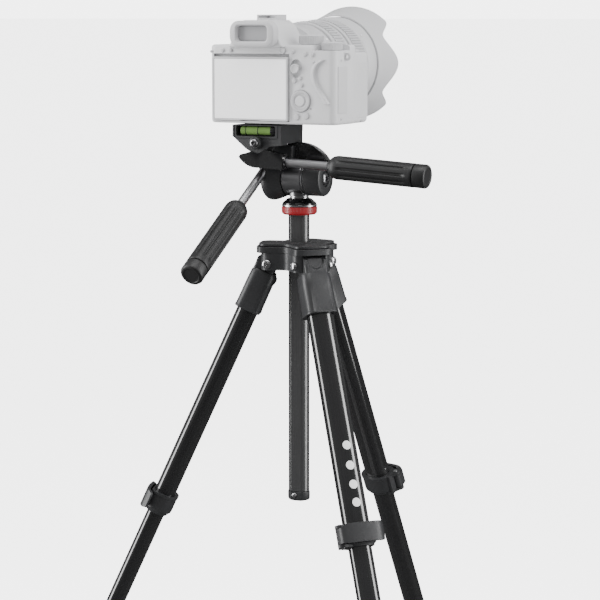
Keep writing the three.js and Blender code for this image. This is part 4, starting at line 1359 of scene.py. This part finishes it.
# ---- Lens hood ---------------------------------------------------------------------------
# The hood is one thin moulding with four petals, long above and below and short at the sides.
# It turns and locks on the barrel's front rim.
HOOD_STEPS = 144
HOOD_WALL = 1.8
HOOD_BASE, HOOD_SIDE, HOOD_TIP = 124, 141, 160
HOOD_LIFT = 0.35
PETAL_EDGE, PETAL_END = 42, 59


def hood_front(angle):
    """How far the hood's rim reaches at an angle round the lens."""
    fold = math.degrees(math.asin(min(abs(math.sin(angle)), 1)))
    if fold < PETAL_EDGE:
        return HOOD_TIP
    if fold < PETAL_END:
        return HOOD_SIDE + 19 * ease((PETAL_END - fold) / 17)
    return HOOD_SIDE + 13 * ease((fold - PETAL_END) / 31)


def hood_radius(y):
    return 46.4 + 7.8 * ((y - HOOD_BASE) / 36) ** 1.1


loops = []
for i in range(HOOD_STEPS):
    angle = math.tau * i / HOOD_STEPS
    tip = hood_front(angle)
    ys = [HOOD_BASE, 127, 128, 134] + [134 + (tip - 134) * k / 8 for k in range(1, 9)]
    lifts = [0, 0, *[HOOD_LIFT] * 10]
    outside = [(hood_radius(y) - HOOD_LIFT + lift, y) for y, lift in zip(ys, lifts)]
    inside = [(hood_radius(y) - HOOD_WALL, y) for y in reversed(ys)]
    loops.append([(r * math.cos(angle), r * math.sin(angle), y) for r, y in outside + inside])
stand_in("lens_hood", loft(loops, closed=True), lens_place, pale_lens, "lens_hood", turn=40)


# ---- Viewer, light and floor -------------------------------------------------------------
# A long lens looks slightly down at the head, from behind the camera and to its right. Two tall
# softboxes and a wide overhead one stand round a pale floor, under an even white sky.
VIEW_AZIMUTH = math.radians(27)
VIEW_DISTANCE = 1.902
VIEW_SIDE = 0.0005
VIEW_ABOVE_HINGES = 0.222
VIEW_PITCH = math.radians(7.68)
VIEW_LENS = 126.36
AIM_HEIGHT = 0.65
SKY_SEEN, SKY_LIGHT, SKY_REFLECTED = 5.0, 1.15, 0.2
FLOOR_ALBEDO, FLOOR_BOUNCE, FLOOR_REFLECTED = 0.85, 0.5, 0.04
FLOOR_SEEN, FLOOR_LIGHT = 3.4, 0.1
FLOOR_REACH = 600.0
SOFTBOXES = (
    ("left_softbox", (-1.25, -0.05, 0.2), 0.5, 1.6, 26),
    ("right_softbox", (1.2, -0.3, 0.2), 0.35, 1.6, 18),
    ("overhead_softbox", (0, -0.4, 1.5), 1.2, 0.8, 16),
)

away = Vector((-math.sin(VIEW_AZIMUTH), math.cos(VIEW_AZIMUTH), 0))
right = Vector((math.cos(VIEW_AZIMUTH), math.sin(VIEW_AZIMUTH), 0))
column_foot = Vector((column_axis.x, column_axis.y, 0))
eye = bpy.data.cameras.new("viewer")
eye.lens = VIEW_LENS
eye.clip_end = 2000
viewer = bpy.data.objects.new("viewer", eye)
scene.collection.objects.link(viewer)
viewer.location = column_foot - VIEW_DISTANCE * away + VIEW_SIDE * right
viewer.location.z = hinge_height + VIEW_ABOVE_HINGES
viewer.rotation_euler = (math.pi / 2 - VIEW_PITCH, 0, VIEW_AZIMUTH)
scene.camera = viewer


def by_ray(tree, seen, lit, reflected):
    """One value where it is seen, another where it lights things and a third in reflections."""
    path = tree.nodes.new("ShaderNodeLightPath").outputs
    soft = add(tree, "ShaderNodeMix", data_type="FLOAT", Factor=path["Is Glossy Ray"], A=lit, B=reflected)
    value = add(
        tree, "ShaderNodeMix", data_type="FLOAT", Factor=path["Is Camera Ray"],
        A=soft.outputs["Result"], B=seen,
    )
    return value.outputs["Result"]


sky = bpy.data.worlds.new("studio")
sky.use_nodes = True
sky_light = sky.node_tree.nodes["Background"]
sky_light.inputs["Color"].default_value = (1, 1, 1, 1)
sky.node_tree.links.new(
    by_ray(sky.node_tree, SKY_SEEN, SKY_LIGHT, SKY_REFLECTED),
    sky_light.inputs["Strength"],
)
scene.world = sky


target = column_foot + Vector((0, 0, AIM_HEIGHT))
for name, (across, back, up), width, height, power in SOFTBOXES:
    lamp = bpy.data.lights.new(name, "AREA")
    lamp.shape = "RECTANGLE"
    lamp.size = width
    lamp.size_y = height
    lamp.energy = power
    holder = bpy.data.objects.new(name, lamp)
    scene.collection.objects.link(holder)
    holder.location = target + across * right + back * away + Vector((0, 0, up))
    holder.rotation_euler = (target - holder.location).to_track_quat("-Z", "Y").to_euler()

floor_mesh = bpy.data.meshes.new("floor")
corners = [(x * FLOOR_REACH, y * FLOOR_REACH, 0) for x, y in ((-1, -1), (1, -1), (1, 1), (-1, 1))]
floor_mesh.from_pydata(corners, [], [(0, 1, 2, 3)])
floor_paint = bpy.data.materials.new("pale_floor")
floor_paint.use_nodes = True
floor_surface = floor_paint.node_tree.nodes["Principled BSDF"]
floor_surface.inputs["Roughness"].default_value = 0.9
floor_surface.inputs["Specular IOR Level"].default_value = 0.1
tone = by_ray(floor_paint.node_tree, FLOOR_ALBEDO, FLOOR_BOUNCE, FLOOR_REFLECTED)
floor_paint.node_tree.links.new(tone, floor_surface.inputs["Base Color"])
floor_surface.inputs["Emission Color"].default_value = (1, 1, 1, 1)
glow = by_ray(floor_paint.node_tree, FLOOR_SEEN, FLOOR_LIGHT, 0)
floor_paint.node_tree.links.new(glow, floor_surface.inputs["Emission Strength"])
floor_mesh.materials.append(floor_paint)
ground = bpy.data.objects.new("floor", floor_mesh)
scene.collection.objects.link(ground)
